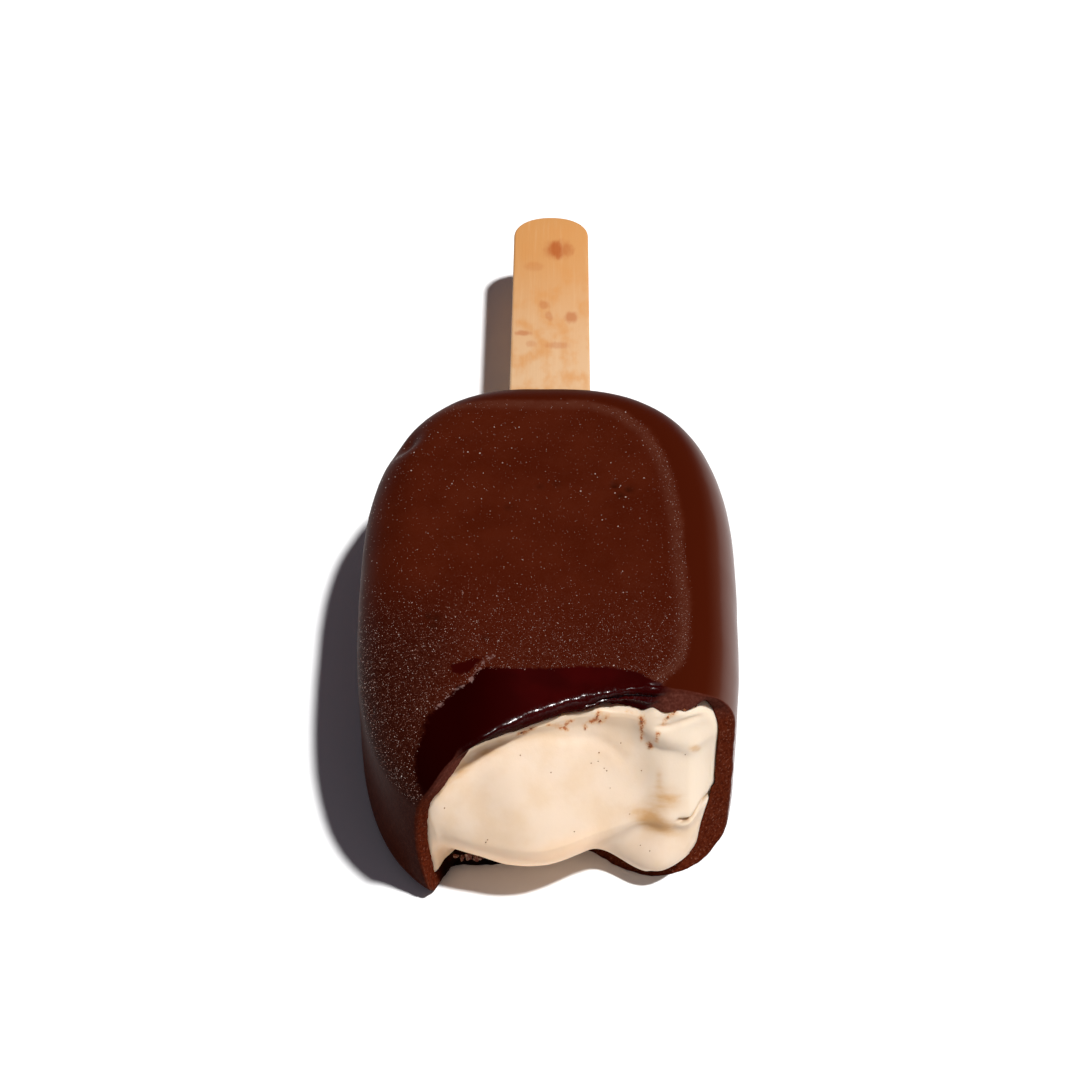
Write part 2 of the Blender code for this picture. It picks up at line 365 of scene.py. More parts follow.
def melted_share(edge):
    """1 where the bitten edge has melted round, 0 where it is a clean break."""
    across, height = edge[..., 0], edge[..., 2]
    return smooth(18.4, 20.6, height) * between(-10.5, -9.2, 12.9, 14.4, across)


def fold_share(edge):
    """1 where the melted edge sags in a thick fold."""
    across = edge[..., 0]
    return melted_share(edge) * smooth(6.6, 9.0, across)


def wrinkled_share(across):
    """1 where the melted edge is finely wrinkled."""
    return between(1.0, 5.0, 9.5, 11.5, across)


def wall_at(edge):
    """Thickness of the chocolate at the bitten edge: swollen where it melted, thin at the sides."""
    across, height = edge[..., 0], edge[..., 2]
    swollen = 0.42 * melted_share(edge) + 0.30 * fold_share(edge)
    thin_left = 0.12 + 0.40 * smooth(3.0, 9.0, height)
    thin = 0.26 * smooth(15.2, 17.5, across) + thin_left * smooth(-12.0, -14.5, across)
    foot = 0.35 * smooth(9.4, 8.6, height) + 0.50 * smooth(8.0, 3.0, height)
    return plain_wall() + swollen - thin + foot * smooth(13.0, 16.0, across)


def tucked_in(rows):
    """The right side drawn in a little towards the bite."""
    across, along, height = np.moveaxis(rows, -1, 0)
    front = smooth(-4.0, -20.0, along) * between(9.0, 14.0, 19.0, 22.8, height)
    moved = rows.copy()
    moved[..., 0] -= 0.18 * front * smooth(8.0, 17.0, across)
    return moved


def opening_spokes(count):
    """Directions, in a plane across the bar, from the middle of the opening to its edge."""
    ring = SKIN.section(BACK_OF_BITE, count)
    return ring[:, 0] / LIP_NARROWING, ring[:, 2] - HUB_HEIGHT


def edge_line(surface, depth, spoke_x, spoke_z):
    """Where a bite surface meets the layer a depth below the skin, one point for each spoke."""

    def at(share):
        x = HUB_X + spoke_x * share
        z = HUB_HEIGHT + spoke_z * share
        return x, surface(x, z), z

    def beyond(share):
        return SKIN.distance(*at(share)) > -depth

    tries = np.linspace(0.25, 1.6, 110)[:, None]
    first = beyond(tries).argmax(axis=0)
    share = halved(tries[np.maximum(first - 1, 0), 0], tries[first, 0], beyond, 16)
    return np.stack(at(share), axis=-1)


def bitten_edges(surface, gap):
    """The coat's outer edge at the bite, and the edge of a surface within the coat."""
    spokes = opening_spokes(LIP_PROBES)
    outer = edge_line(coat_bite, 0.0, *spokes)
    return outer, edge_line(surface, wall_at(outer) + gap, *spokes)


def even_lines(lines, count):
    """The same even steps along several closed lines, measured on the first of them."""
    first = np.vstack([lines[0], lines[0][:1]])
    length = np.concatenate([[0.0], np.cumsum(np.linalg.norm(np.diff(first, axis=0), axis=1))])
    steps = np.linspace(0.0, length[-1], count, endpoint=False)
    even = []
    for line in lines:
        closed = np.vstack([line, line[:1]])
        even.append(np.stack([np.interp(steps, length, closed[:, k]) for k in range(3)], -1))
    return even


def rows_from_edge(edge, ring, shares, depth):
    """Rows from an edge line back to a full ring, laid on the skin or on a layer under it."""
    shares = np.broadcast_to(shares, (len(shares), len(edge)))[..., None]
    aim = edge + (ring - edge) * shares
    hub = np.concatenate([HUB_X * (1 - shares), aim[..., 1:2],
                          np.full_like(shares, HUB_HEIGHT)], axis=-1)
    return SKIN.reach(hub, aim, depth)


def rows_along(ring, alongs, depth):
    """Plain rings at distances along the bar."""
    aim = np.repeat(ring[None], len(alongs), axis=0)
    aim[..., 1] = np.asarray(alongs)[:, None]
    hub = aim * (0, 1, 0) + (0, 0, HUB_HEIGHT)
    return SKIN.reach(hub, aim, depth)


def middle_rows(ring, count, depth):
    """Plain rings from behind the bite to where the end starts."""
    return rows_along(ring, np.linspace(BACK_OF_BITE, START_OF_END, count)[1:], depth)


def rows_to_slot(ring, slot, shares, depth):
    """Rows from the last plain ring round the stick end to the slot where the stick leaves."""
    hub = np.array([0.0, END_HUB, STICK_HEIGHT])
    slot = SKIN.reach(slot * (1, 0, 1) + (0, END_HUB, 0), slot * (1, 0, 1) + (0, 40.0, 0), depth)
    shares = np.asarray(shares)[:, None, None]
    spoke = unit(ring - hub) * (1 - shares) + unit(slot - hub) * shares
    met = SKIN.reach(np.broadcast_to(hub, spoke.shape), hub + 16 * unit(spoke), depth)
    met[-1] = slot
    return met


def layer_rows(edge, edge_depth, ring, first, spread, slot, depth):
    """A layer under the skin: from its bitten edge back, along the bar and round to the slot.

    The first row stands off the edge by a share of the way to the ring, and later rows lie
    further apart by a power, the spread.
    """
    steps = np.linspace(0.0, 1.0, HIDDEN_ROWS)
    shares = first + (1 - first) * steps[:, None] ** spread
    front = rows_from_edge(edge, ring, shares, depth + (edge_depth - depth) * (1 - shares))
    middle = middle_rows(ring, HIDDEN_MIDDLE_ROWS, depth)
    return front, middle, rows_to_slot(middle[-1], slot, steps[1:], depth)


def slot_ring(margin, count):
    """Even steps round the stick's section, grown by a margin."""
    x, z = rounded_rectangle(STICK_WIDTH / 2 + margin, STICK_THICKNESS / 2 + margin,
                             STICK_SECTION_SQUARENESS, count)
    return np.stack([x, np.full(count, REAR_LENGTH), z + STICK_HEIGHT], axis=-1)


def row_normals(rows):
    """Outward direction at each point of rows that close both ways."""
    around = np.roll(rows, -1, axis=1) - np.roll(rows, 1, axis=1)
    along = np.roll(rows, -1, axis=0) - np.roll(rows, 1, axis=0)
    return unit(np.cross(along, around))


# ---------------------------------------------------------------- modelling


def deselect_all():
    if bpy.context.object and bpy.context.object.mode != "OBJECT":
        bpy.ops.object.mode_set(mode="OBJECT")
    bpy.ops.object.select_all(action="DESELECT")


def finish_piece(piece, name, slot, material, *nodes):
    """Name a finished piece, give it its material and fix it to the body."""
    piece.name = name
    piece.data.name = name
    piece.data.materials.clear()
    piece.data.materials.append(material)
    if nodes:
        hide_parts(*nodes)
    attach(piece, BODY)
    deselect_all()
    return piece


def to_frame(points):
    """Bar millimetres to metres in the frame."""
    return (points + (0.0, MIDDLE, 0.0)) * MM


def from_frame(points):
    """Metres in the frame to bar millimetres."""
    return points / MM - (0.0, MIDDLE, 0.0)


def read(items, name, size=3):
    """A value of every point or face of a mesh, a row for each."""
    values = np.empty(len(items) * size)
    items.foreach_get(name, values)
    return values.reshape(-1, size)


def store(piece, name, values):
    """Keep a named value at each point of a piece, for its material."""
    attribute = piece.data.attributes.new(name, "FLOAT", "POINT")
    attribute.data.foreach_set("value", values)


def grid_from_rows(rows, looks):
    """Grid primitive with its points laid along rows, closed up and facing outwards.

    rows holds (row, column) points and looks holds named values for each of them.
    """
    row_count, column_count = rows.shape[:2]
    deselect_all()
    bpy.ops.mesh.primitive_grid_add(x_subdivisions=column_count, y_subdivisions=row_count - 1,
                                    size=1, calc_uvs=False)
    grid = bpy.context.object
    flat = read(grid.data.vertices, "co")
    column = np.rint((flat[:, 0] + 0.5) * column_count).astype(int) % column_count
    row = np.rint((flat[:, 1] + 0.5) * (row_count - 1)).astype(int)
    grid.data.vertices.foreach_set("co", to_frame(rows[row, column]).ravel())
    for name, values in looks.items():
        store(grid, name, values[row, column])
    bpy.ops.object.mode_set(mode="EDIT")
    bpy.ops.mesh.select_all(action="SELECT")
    bpy.ops.mesh.remove_doubles(threshold=1e-7)
    bpy.ops.mesh.normals_make_consistent(inside=False)
    bpy.ops.object.mode_set(mode="OBJECT")
    grid.data.shade_smooth()
    return grid


def apply_modifiers(piece):
    for modifier in list(piece.modifiers):
        bpy.ops.object.modifier_apply(modifier=modifier.name)


# ---------------------------------------------------------------- chocolate coat

# Outlines on the coat. The wiped part is seen from above and in front, as (across, rise), where
# rise counts height and distance along the bar alike. The frosted part is (across, along).
WIPED_EDGE = ((14.2, -0.8), (13.2, 0.0), (11.9, 0.5), (10.3, 1.4), (7.2, 1.8), (3.8, 1.95),
              (0.4, 1.6), (-3.6, 1.6), (-6.5, 1.7), (-7.8, 1.5), (-8.9, 0.0), (-10.2, -0.4),
              (-11.0, -1.4), (-12.6, -2.7), (-13.8, -3.8), (-14.0, -5.3), (-14.3, -6.5),
              (-14.9, -8.2), (-14.9, -9.8), (-14.6, -11.0), (-13.7, -12.8), (-12.0, -22.0),
              (12.0, -9.0), (14.4, -2.6))
SMUDGE = ((-11.1, 2.05), (-7.4, 2.9), (-8.9, 1.13), (-11.0, 0.85))
SCRAPE = ((-6.3, 2.9), (-7.3, 2.55), (-7.7, 1.63), (-8.4, 0.92), (-8.9, -0.07))
SCRAPE_TAIL = ((-9.6, -0.3), (-10.2, -0.42), (-10.6, -0.85), (-11.0, -1.5), (-11.8, -2.05),
               (-12.6, -2.8))
FROST_EDGE = ((-30.0, 25.6), (5.0, 25.6), (9.3, 23.7), (12.6, 20.1), (14.7, 15.0), (15.4, 11.8),
              (15.9, 8.0), (16.4, 3.0), (16.4, -2.0), (16.9, -9.5), (16.6, -15.8),
              (15.8, -19.8), (13.5, -22.2), (12.0, -45.0), (-30.0, -45.0))

# Small dents: (across, along, height), size and depth. Dimples of the top: across, along, depth.
DENTS = (((-18.0, 19.5, 20.6), 2.1, 0.95),
         ((-20.3, -24.1, 19.3), 0.42, 0.30))
DIMPLES = ((8.0, 10.1, 0.5), (9.7, 9.4, 0.45), (8.7, 8.4, 0.4), (-1.2, 9.7, 0.2), (0.8, 10.2, 0.2),
           (-5.1, 6.0, 0.2), (-14.0, -12.2, 0.35), (-13.5, -13.8, 0.3), (-7.4, -15.6, 0.25),
           (-13.1, -12.5, 0.3))
DIMPLE_SIZE = 0.6
SLIT_ALONG = -22.9                # a short slit behind the flap at the right

# Bands of the coat's rows that show on the outside and at the bitten edge.
SKIN_BANDS = ("front", "middle", "end")
LIP_BANDS = ("outer_corner", "face", "inner_corner")
INNER_CORNER_STEPS = (0.25, 0.5, 0.75, 1.0)
FACE_SHARES = np.linspace(0.06, 0.94, 12)      # across the bitten face, from inside out
OUTER_CORNER_STEPS = (0.0, 0.15, 0.3, 0.45, 0.6, 0.8)
CREST_SHADING = (1.0, 0.9, 0.6, 0.15, 0.0, 0.0)    # how shaded each of these steps is
TUNNEL_SHARES = np.array([0.1, 0.4, 0.7])      # through the wall where the stick leaves it


def rise_of(points):
    """Height and distance along the bar taken together, as seen from above and in front."""
    return (points[..., 1] + points[..., 2]) * math.sqrt(0.5)


def distance_to_line(px, py, ends):
    """Distance from points to a line through ends, in a plane."""
    nearest = np.full(px.shape, np.inf)
    for (ax, ay), (bx, by) in zip(ends, ends[1:]):
        share = ((px - ax) * (bx - ax) + (py - ay) * (by - ay)) / ((bx - ax) ** 2 + (by - ay) ** 2)
        share = np.clip(share, 0.0, 1.0)
        gap = np.hypot(px - ax - share * (bx - ax), py - ay - share * (by - ay))
        nearest = np.minimum(nearest, gap)
    return nearest


def inside_distance(px, py, polygon):
    """Signed distance to a polygon in a plane, positive inside."""
    inside = np.zeros(px.shape, bool)
    for (ax, ay), (bx, by) in zip(polygon, polygon[1:] + polygon[:1]):
        if ay != by:
            crossing = ax + (py - ay) * (bx - ax) / (by - ay)
            inside ^= ((ay > py) != (by > py)) & (px < crossing)
    edge = distance_to_line(px, py, polygon + polygon[:1])
    return np.where(inside, edge, -edge)


def corner(point, arm, other_arm, steps):
    """Curve that cuts a corner, from the end of one arm to the end of the other."""
    t = np.asarray(steps)[:, None, None]
    return point + arm * (1 - t) ** 2 + other_arm * t ** 2


def raised_at_stick(end):
    """The end rows with the low ridge where the chocolate meets the stick."""
    beside = np.maximum(np.abs(end[..., 0]) - STICK_WIDTH / 2, 0)
    above = np.maximum(np.abs(end[..., 2] - STICK_HEIGHT) - STICK_THICKNESS / 2, 0)
    raised = end.copy()
    raised[..., 1] += 0.55 * np.exp(-np.hypot(beside, above) / 0.6)
    return raised


def lip_bands(outer_lip, inner_lip, outer_next, inner_next, rounding):
    """Rows across the bitten edge, from the inside of the coat out."""
    outer_back = unit(outer_next - outer_lip) * rounding
    inner_back = unit(inner_next - inner_lip) * rounding
    across = unit(inner_lip - outer_lip) * rounding
    outer_face, inner_face = outer_lip + across, inner_lip - across
    face = inner_face + (outer_face - inner_face) * FACE_SHARES[:, None, None]
    return (("inner_corner", corner(inner_lip, inner_back, -across, INNER_CORNER_STEPS)),
            ("face", face),
            ("outer_corner", corner(outer_lip, across, outer_back, OUTER_CORNER_STEPS)))


def outside_rows(lip, ring, first, slot):
    """The coat's outside, in its bands: from the bitten edge back to the stick."""
    shares = first + (1 - first) * np.linspace(0.0, 1.0, FRONT_ROWS)[:, None] ** 1.25
    front = rows_from_edge(lip, ring, shares, 0.0)
    middle = middle_rows(ring, MIDDLE_ROWS, 0.0)
    shares = 1 - (1 - np.linspace(0.0, 1.0, END_ROWS)[1:]) ** 1.25
    return front, middle, raised_at_stick(rows_to_slot(middle[-1], slot, shares, 0.0))


def coat_rows():
    """Rows of the coat's double skin, the band that each belongs to, and its outer lip."""
    wall = plain_wall()
    lip, inner_lip = even_lines(bitten_edges(inner_bite, 0.0), COAT_AROUND)
    melted_edge = settings().lip_rounding / MM - 0.45 * fold_share(lip)
    rounding = SHARP_EDGE + melted_share(lip) * (melted_edge - SHARP_EDGE)
    slot = slot_ring(SLOT_GAP, COAT_AROUND)
    ring = SKIN.section(BACK_OF_BITE, COAT_AROUND)
    first = rounding / np.linalg.norm(ring - lip, axis=1)
    front, middle, end = outside_rows(lip, ring, first, slot)
    ring = rows_along(ring, [BACK_OF_BITE], wall)[0]
    first = rounding / np.linalg.norm(ring - inner_lip, axis=1)
    inside = layer_rows(inner_lip, wall_at(lip), ring, first, 1.5, slot, wall)
    inner_front, inner_middle, inner_end = (rows[::-1] for rows in inside)
    tunnel = end[-1] + (inner_end[0] - end[-1]) * TUNNEL_SHARES[:, None, None]
    bands = (("front", front), ("middle", middle), ("end", end), ("tunnel", tunnel),
             ("inner_end", inner_end), ("inner_middle", inner_middle),
             ("inner_front", inner_front),
             *lip_bands(lip, inner_lip, front[0], inner_front[-1], rounding[:, None]))
    kind = np.concatenate([[name] * len(rows) for name, rows in bands])
    return np.concatenate([rows for _, rows in bands]), kind, lip


def dimple_depths(points, width):
    """Depth of each dimple at each point."""
    return np.array([depth * bell(np.linalg.norm(points - (x, y, THICKNESS), axis=-1), width)
                     for x, y, depth in DIMPLES])


def sculpt_skin(shown):
    """Heights of the soft waves, dents and dimples of the outer skin."""
    across, along, height = np.moveaxis(shown, -1, 0)
    heights = 0.10 * grain(shown, 9.0, 3.1) + 0.03 * grain(shown, 3.2, 7.7)
    heights *= smooth(0.3, 3.0, height)
    for place, size, depth in DENTS:
        heights -= depth * bell(np.linalg.norm(shown - place, axis=-1), size)
    heights -= dimple_depths(shown, DIMPLE_SIZE).sum(axis=0)
    slit = bell(along - SLIT_ALONG, 0.22) * between(11.0, 12.0, 13.4, 14.2, across)
    return heights - 0.22 * slit * smooth(20.0, 21.0, height)


def sculpt_lip(rim, kind, melted, fold):
    """Heights of the bitten edge: swollen where it melted, ragged where it broke."""
    broken = 0.09 * grain(rim, 0.9, 5.5) + 0.05 * grain(rim, 0.45, 1.5)
    swell = 0.16 * grain(rim, 2.6, 9.1) + 0.12 * grain(rim, 1.0, 4.2)
    swell += 0.16 * wrinkled_share(rim[..., 0]) * grain(rim, 0.55, 6.6)
    heights = broken * (1 - melted) + swell * melted
    from_outside = 1 - FACE_SHARES[:, None]
    strand = 0.26 * bell(from_outside - 0.56, 0.15) - 0.34 * bell(from_outside - 0.30, 0.13)
    heights[kind == "face"] += strand * fold
    return heights


def sculpt_coat(rows, kind, outer_lip):
    """Give the coat its waves, dents, melted lip and broken edges."""
    across = outer_lip[:, 0]
    melted = melted_share(outer_lip)
    fold = melted * smooth(3.6, 6.2, across)
    skin = np.isin(kind, SKIN_BANDS)
    lip = np.isin(kind, LIP_BANDS)
    heights = np.zeros(rows.shape[:2])
    heights[skin] = sculpt_skin(rows[skin])
    heights[lip] = sculpt_lip(rows[lip], kind[lip], melted, fold)
    behind = rows[kind == "front"]
    crest = 0.14 * grain(behind, 2.6, 9.1) + 0.08 * grain(behind, 1.1, 4.2)
    crest += 0.16 * wrinkled_share(across) * grain(behind, 0.55, 6.6)
    fade = np.exp(-np.arange(len(behind)) / 2.0)[:, None]
    heights[kind == "front"] += crest * melted * fade
    shaped = tucked_in(rows + row_normals(rows) * heights[..., None])
    shaped[..., 2] = np.maximum(shaped[..., 2], 0.0)
    return shaped


def coat_looks(rows, kind, outer_lip):
    """What the coat's material has to know about each point."""
    across, along, height = np.moveaxis(rows, -1, 0)
    rise = rise_of(rows)
    melted = melted_share(outer_lip) * np.ones(rows.shape[:2])
    lip = np.isin(kind, LIP_BANDS)[:, None]
    face = kind == "face"
    share_of_cut = np.where(kind == "outer_corner", 0.6, 1.0)[:, None]
    near_lip = np.exp(-np.linalg.norm(rows - outer_lip, axis=-1))
    shaded = np.where(np.isin(kind, ("face", "inner_corner")), 1.0, 0.0)[:, None] * melted
    shaded[kind == "outer_corner"] = np.array(CREST_SHADING)[:, None]
    strand = bell(1 - FACE_SHARES[:, None] - 0.45, 0.2)
    shaded[face] -= strand * (melted * smooth(3.5, 6.0, across))[face]
    shaded = np.maximum(shaded * melted, smooth(-2.0, -7.5, across))
    facing = row_normals(rows)[..., 0]
    wiped = inside_distance(across, rise, WIPED_EDGE) * (1 - 0.6 * smooth(-10.0, -12.0, across))
    # Painted shade: the hollow where the broken floor meets the table, and the middles of the
    # dimples.
    at_floor = between(-13.0, -12.0, 3.0, 5.5, across) * smooth(3.5, 1.5, height)
    in_dimples = 1.4 * dimple_depths(rows, 0.7 * DIMPLE_SIZE).max(axis=0)
    return {"wiped": wiped,
            "smudge": inside_distance(across, rise, SMUDGE),
            "scrape": np.minimum(distance_to_line(across, rise, SCRAPE) - 0.09,
                                 distance_to_line(across, rise, SCRAPE_TAIL) - 0.05),
            "frosted": inside_distance(across, along, FROST_EDGE),
            "cut": np.where(lip, (1 - melted) * share_of_cut, 0.0),
            "lip": np.where(lip, 1.0, near_lip) * melted,
            "underside": shaded,
            # Sheen: how far a side faces out to the right, and a little to the left; a painted
            # reflection in the colour and a real gloss in the coat.
            "sheen": smooth(0.4, 1.0, facing) + 0.08 * smooth(0.5, 1.0, -facing),
            "hollow": np.where(lip, at_floor, in_dimples)}


def make_chocolate_coat():
    rows, kind, outer_lip = coat_rows()
    looks = coat_looks(rows, kind, outer_lip)
    shaped = sculpt_coat(rows, kind, outer_lip)
    shaped = np.concatenate([shaped, shaped[:1]])
    looks = {name: np.concatenate([values, values[:1]]) for name, values in looks.items()}
    coat = grid_from_rows(shaped, looks)
    return finish_piece(coat, "coat", "chocolate", chocolate_finish(), "chocolate_coat")


# ---------------------------------------------------------------- ice cream

# The main lump left standing, in the plane across the bar.
NOSE_X = -1.0
NOSE_HEIGHT = 9.3
NOSE_REACH = 9.5                  # how far forward it leans
NOSE_TOP = 9.7                    # how far it goes up, down and to the right
NOSE_BOTTOM = 6.6
NOSE_SIDE = 14.5
NOSE_LEFT_BEND = 1.6              # how much less it stands out at the left wall
MEETING = 0.9                     # how softly the lumps run into each other

# Lesser lumps: (across, height), (half width, half height above, below), how far forward.
LUMPS = (
    ((12.2, 4.0), (7.7, 4.2, 3.6), 4.0),
    ((-12.3, 2.6), (3.4, 3.6, 3.2), 2.6),
    ((8.0, 15.4), (6.0, 4.2, 5.0), 0.8),
)
# How far the ice cream is set back under the coat's roof, or forward where it is less than 0.
UNDER_LIP = ((-14.0, 0.1), (-12.3, -0.1), (-10.2, 0.1), (-8.6, 0.4), (0.0, 0.3), (5.0, 0.2),
             (9.0, -0.2), (13.0, -1.0), (15.5, -1.2), (18.0, -0.1), (21.0, 0.2))
# How far the right side stands out at each height: a tooth's flat mark on top, then a slope.
RIGHT_SIDE = ((1.5, 0.0), (3.0, 0.8), (5.0, 1.9), (7.3, 3.0), (8.9, 3.6), (11.0, 3.0),
              (14.0, 2.2), (16.0, 1.85), (16.8, 2.0), (17.5, 1.9), (19.7, 0.4), (21.0, 0.0))
CREASE = ((-12.6, -11.9), (-10.3, -10.3), (-8.7, -9.2), (-6.8, -7.9), (-4.9, -7.0), (-3.2, -6.45),
          (-1.0, -6.0), (3.6, -6.2), (6.0, -6.6), (7.6, -7.5), (8.6, -8.6))
TOOTH_CREASE = ((12.9, -5.0), (14.0, -4.9), (15.6, -4.35), (18.4, -3.5))
CRACK_START = 15.0                # across; the crack runs from here to the right wall
CRACK_HEIGHT = 8.8
CRACK_SLOPE = -0.08
# Tan painted shade in the hollows: strength, (across, rise), half width, half rise and how far they
# slant.
PAINTED_SHADE_HOLLOWS = ((0.75, (13.7, -13.4), 2.3, 1.5, 0.0), (0.5, (13.0, -11.0), 0.5, 1.3, 0.0),
               (1.1, (12.4, -16.2), 2.9, 1.3, 0.35))


def main_lump(across, height):
    """The lump that leans out over the floor, undercut below."""
    side = across - NOSE_X
    middle = line_through(BITE_MIDDLE, np.clip(across, -14.0, 5.0))
    bend = NOSE_LEFT_BEND * (np.maximum(-side, 0) / 12.0) ** 1.6
    left = NOSE_REACH + middle - line_through(BITE_MIDDLE, NOSE_X) - bend
    left = (left + np.hypot(left, MEETING)) / 2
    width = NOSE_SIDE - 2.5 * smooth(9.0, 4.0, height)
    right = NOSE_REACH * dome(np.maximum(side, 0) / width, 1.2)
    at_right = smooth(-4.5, 3.0, side)
    rise = height - (NOSE_HEIGHT - 0.05 * side)
    above = np.clip(1 - (np.maximum(rise, 0) / NOSE_TOP) ** 1.35, 0, 1) ** 1.1
    below = np.clip(1 - (np.maximum(-rise, 0) / NOSE_BOTTOM) ** 2.3, 0, 1) ** 0.5
    return (left * (1 - at_right) + right * at_right) * above * below


def right_side(across, height):
    """The part beside the right wall."""
    tilt = 0.5 * smooth(12.0, 16.0, height)
    out = line_through(RIGHT_SIDE, height + tilt * (across - 15.0))
    wall = smooth(19.4, 16.4, across)
    near_top = smooth(15.0, 17.0, height)
    return out * smooth(7.5, 14.4, across) * (wall + (1 - wall) * 0.6 * near_top)


def crack(across, height):
    """Thin slit that runs in from the right wall, and the ridge under it."""
    line = CRACK_HEIGHT + CRACK_SLOPE * (across - CRACK_START) + 0.14 * np.sin(across * 2.6)
    start = smooth(CRACK_START - 0.4, CRACK_START + 0.9, across)
    above = height - line
    ridge = between(-2.2, -0.6, -0.3, 0.05, above)
    return (0.75 * bell(above, 0.20) - 0.2 * ridge) * start


def ice_bite(across, height):
    """How far along the bar the bite reaches into the ice cream."""
    at_left = smooth(-3.5, -9.0, across)
    set_back = 0.22 + at_left * between(9.0, 16.0, 18.0, 20.0, height)
    set_back += 1.3 * smooth(-4.0, -9.0, across) * smooth(9.0, 3.0, height)
    set_back += line_through(UNDER_LIP, across) * near_roof(height)
    reach = main_lump(across, height) ** 2 + right_side(across, height) ** 2
    for (x, z), (half_x, half_above, half_below), out in LUMPS:
        half_z = np.where(height > z, half_above, half_below)
        away = np.hypot((across - x) / half_x, (height - z) / half_z)
        reach = reach + (out * dome(away, 1.25)) ** 2
    forward = np.sqrt(reach + MEETING ** 2) - MEETING
    return coat_bite(across, height) + set_back - forward


def crease_depth(rows):
    """The hollow over the main lump, deepest at the left, and the line over the tooth's mark."""
    across, rise = rows[..., 0], rise_of(rows)
    at_left = smooth(-1.0, -8.0, across)
    crease = bell(distance_to_line(across, rise, CREASE), 0.75 + 0.45 * at_left)
    tooth = bell(distance_to_line(across, rise, TOOTH_CREASE), 0.3)
    return (0.16 + 0.45 * at_left) * crease + 0.30 * tooth


def painted_shade_share(across, rise):
    """How much tan painted shade the ice cream takes in its hollows at the right."""
    share = np.zeros(across.shape)
    for strength, (x, level), half_width, half_rise, slant in PAINTED_SHADE_HOLLOWS:
        up = rise - level + slant * (across - x)
        share += strength * bell(across - x, half_width) * bell(up, half_rise)
    return np.minimum(share, 1.0)


def ice_front_rows(rim):
    """Rows from the middle of the bitten face out to its rim, how much tan painted shade they take
    and where warm light is painted low down.
    """
    shares = np.linspace(0.0, 1.0, ICE_FRONT_ROWS)[:-1, None]
    x = HUB_X + (rim[:, 0] - HUB_X) * shares
    z = HUB_HEIGHT + (rim[:, 2] - HUB_HEIGHT) * shares
    rows = np.stack([x, ice_bite(x, z), z], axis=-1)
    inward = smooth(0.0, 1.3, np.linalg.norm(rows - rim, axis=-1))
    crease = crease_depth(rows) * inward
    slit = crack(x, z)
    rows[..., 1] += crease + slit
    rows[..., 1] += (0.17 * grain(rows, 5.5, 2.2) + 0.05 * grain(rows, 2.1, 6.1)) * inward
    rows[..., 1] += RIM_SET_BACK * smooth(0.7, 0.0, np.linalg.norm(rows - rim, axis=-1))
    # Where warm light is painted, low down on the main lump, as if bounced up from the table.
    under = smooth(11.0, 7.0, z) * smooth(9.0, 4.0, x)
    # Tan painted shade in the crease, the hollows and the crack.
    tan = 0.9 * crease + 0.75 * painted_shade_share(x, rise_of(rows)) + 1.2 * np.clip(slit, 0.0, 1.0)
    return rows, np.clip(tan, 0.0, 1.0), under


def ice_rows():
    """Points of the ice cream from the bitten face back to the end of the stick's hole."""
    depth = plain_wall() + ICE_GAP
    outer_lip, rim = bitten_edges(ice_bite, ICE_GAP)
    rim, outer_lip = even_lines((rim, outer_lip), ICE_AROUND)
    rim[:, 1] += RIM_SET_BACK
    ring = rows_along(SKIN.section(BACK_OF_BITE, ICE_AROUND), [BACK_OF_BITE], depth)[0]
    hole = slot_ring(SLOT_GAP, ICE_AROUND)
    side, middle, end = layer_rows(rim, wall_at(outer_lip) + ICE_GAP, ring, 0.0, 1.0, hole, depth)
    alongs = np.linspace(end[-1][:, 1].mean(), STICK_BURIED_END - SLOT_GAP, POCKET_ROWS)[1:]
    pocket = np.repeat(hole[None], len(alongs), axis=0)
    pocket[..., 1] = alongs[:, None]
    bottom = np.broadcast_to(pocket[-1].mean(axis=0), hole.shape)[None]
    front, tan, under = ice_front_rows(rim)
    rows = np.concatenate([front, side, middle, end, pocket, bottom])
    hidden = np.zeros((len(rows) - len(front), ICE_AROUND))
    looks = {"tan": np.concatenate([tan, hidden]), "undercut": np.concatenate([under, hidden])}
    return tucked_in(rows), looks


# Chocolate smeared into the ice cream: a line of (across, rise) and how far it spreads.
SMEARS = (
    (((4.9, -4.4), (5.6, -4.3), (5.9, -3.2)), 0.20),
    (((5.6, -4.3), (6.3, -4.45), (6.9, -3.7)), 0.18),
    (((1.5, -5.1), (2.1, -5.05), (2.35, -4.45), (2.8, -4.3)), 0.19),
    (((2.1, -5.05), (2.25, -5.4)), 0.18),
    (((4.35, -5.1), (4.4, -4.9)), 0.18),
    (((-3.3, -5.75), (-2.3, -5.4), (-1.5, -5.0)), 0.16),
    (((0.0, -4.7), (1.4, -4.9)), 0.07),
    (((10.8, -4.0), (10.85, -4.4)), 0.34),
    (((10.9, -4.6), (10.85, -5.3), (10.85, -6.4)), 0.12),
    (((12.7, -5.6), (12.5, -6.6)), 0.14),
    (((11.75, -7.0), (11.95, -7.3)), 0.26),
    (((13.3, -4.6), (13.6, -3.9), (14.7, -3.2)), 0.14),
    (((9.1, -3.1), (9.8, -3.1)), 0.10),
    (((-12.8, -11.8), (-12.4, -11.7)), 0.17),
)
# A small tan painted shadow under the tooth's flat mark at the right.
PAINTED_SHADOW_MARK = (17.0, -7.5)


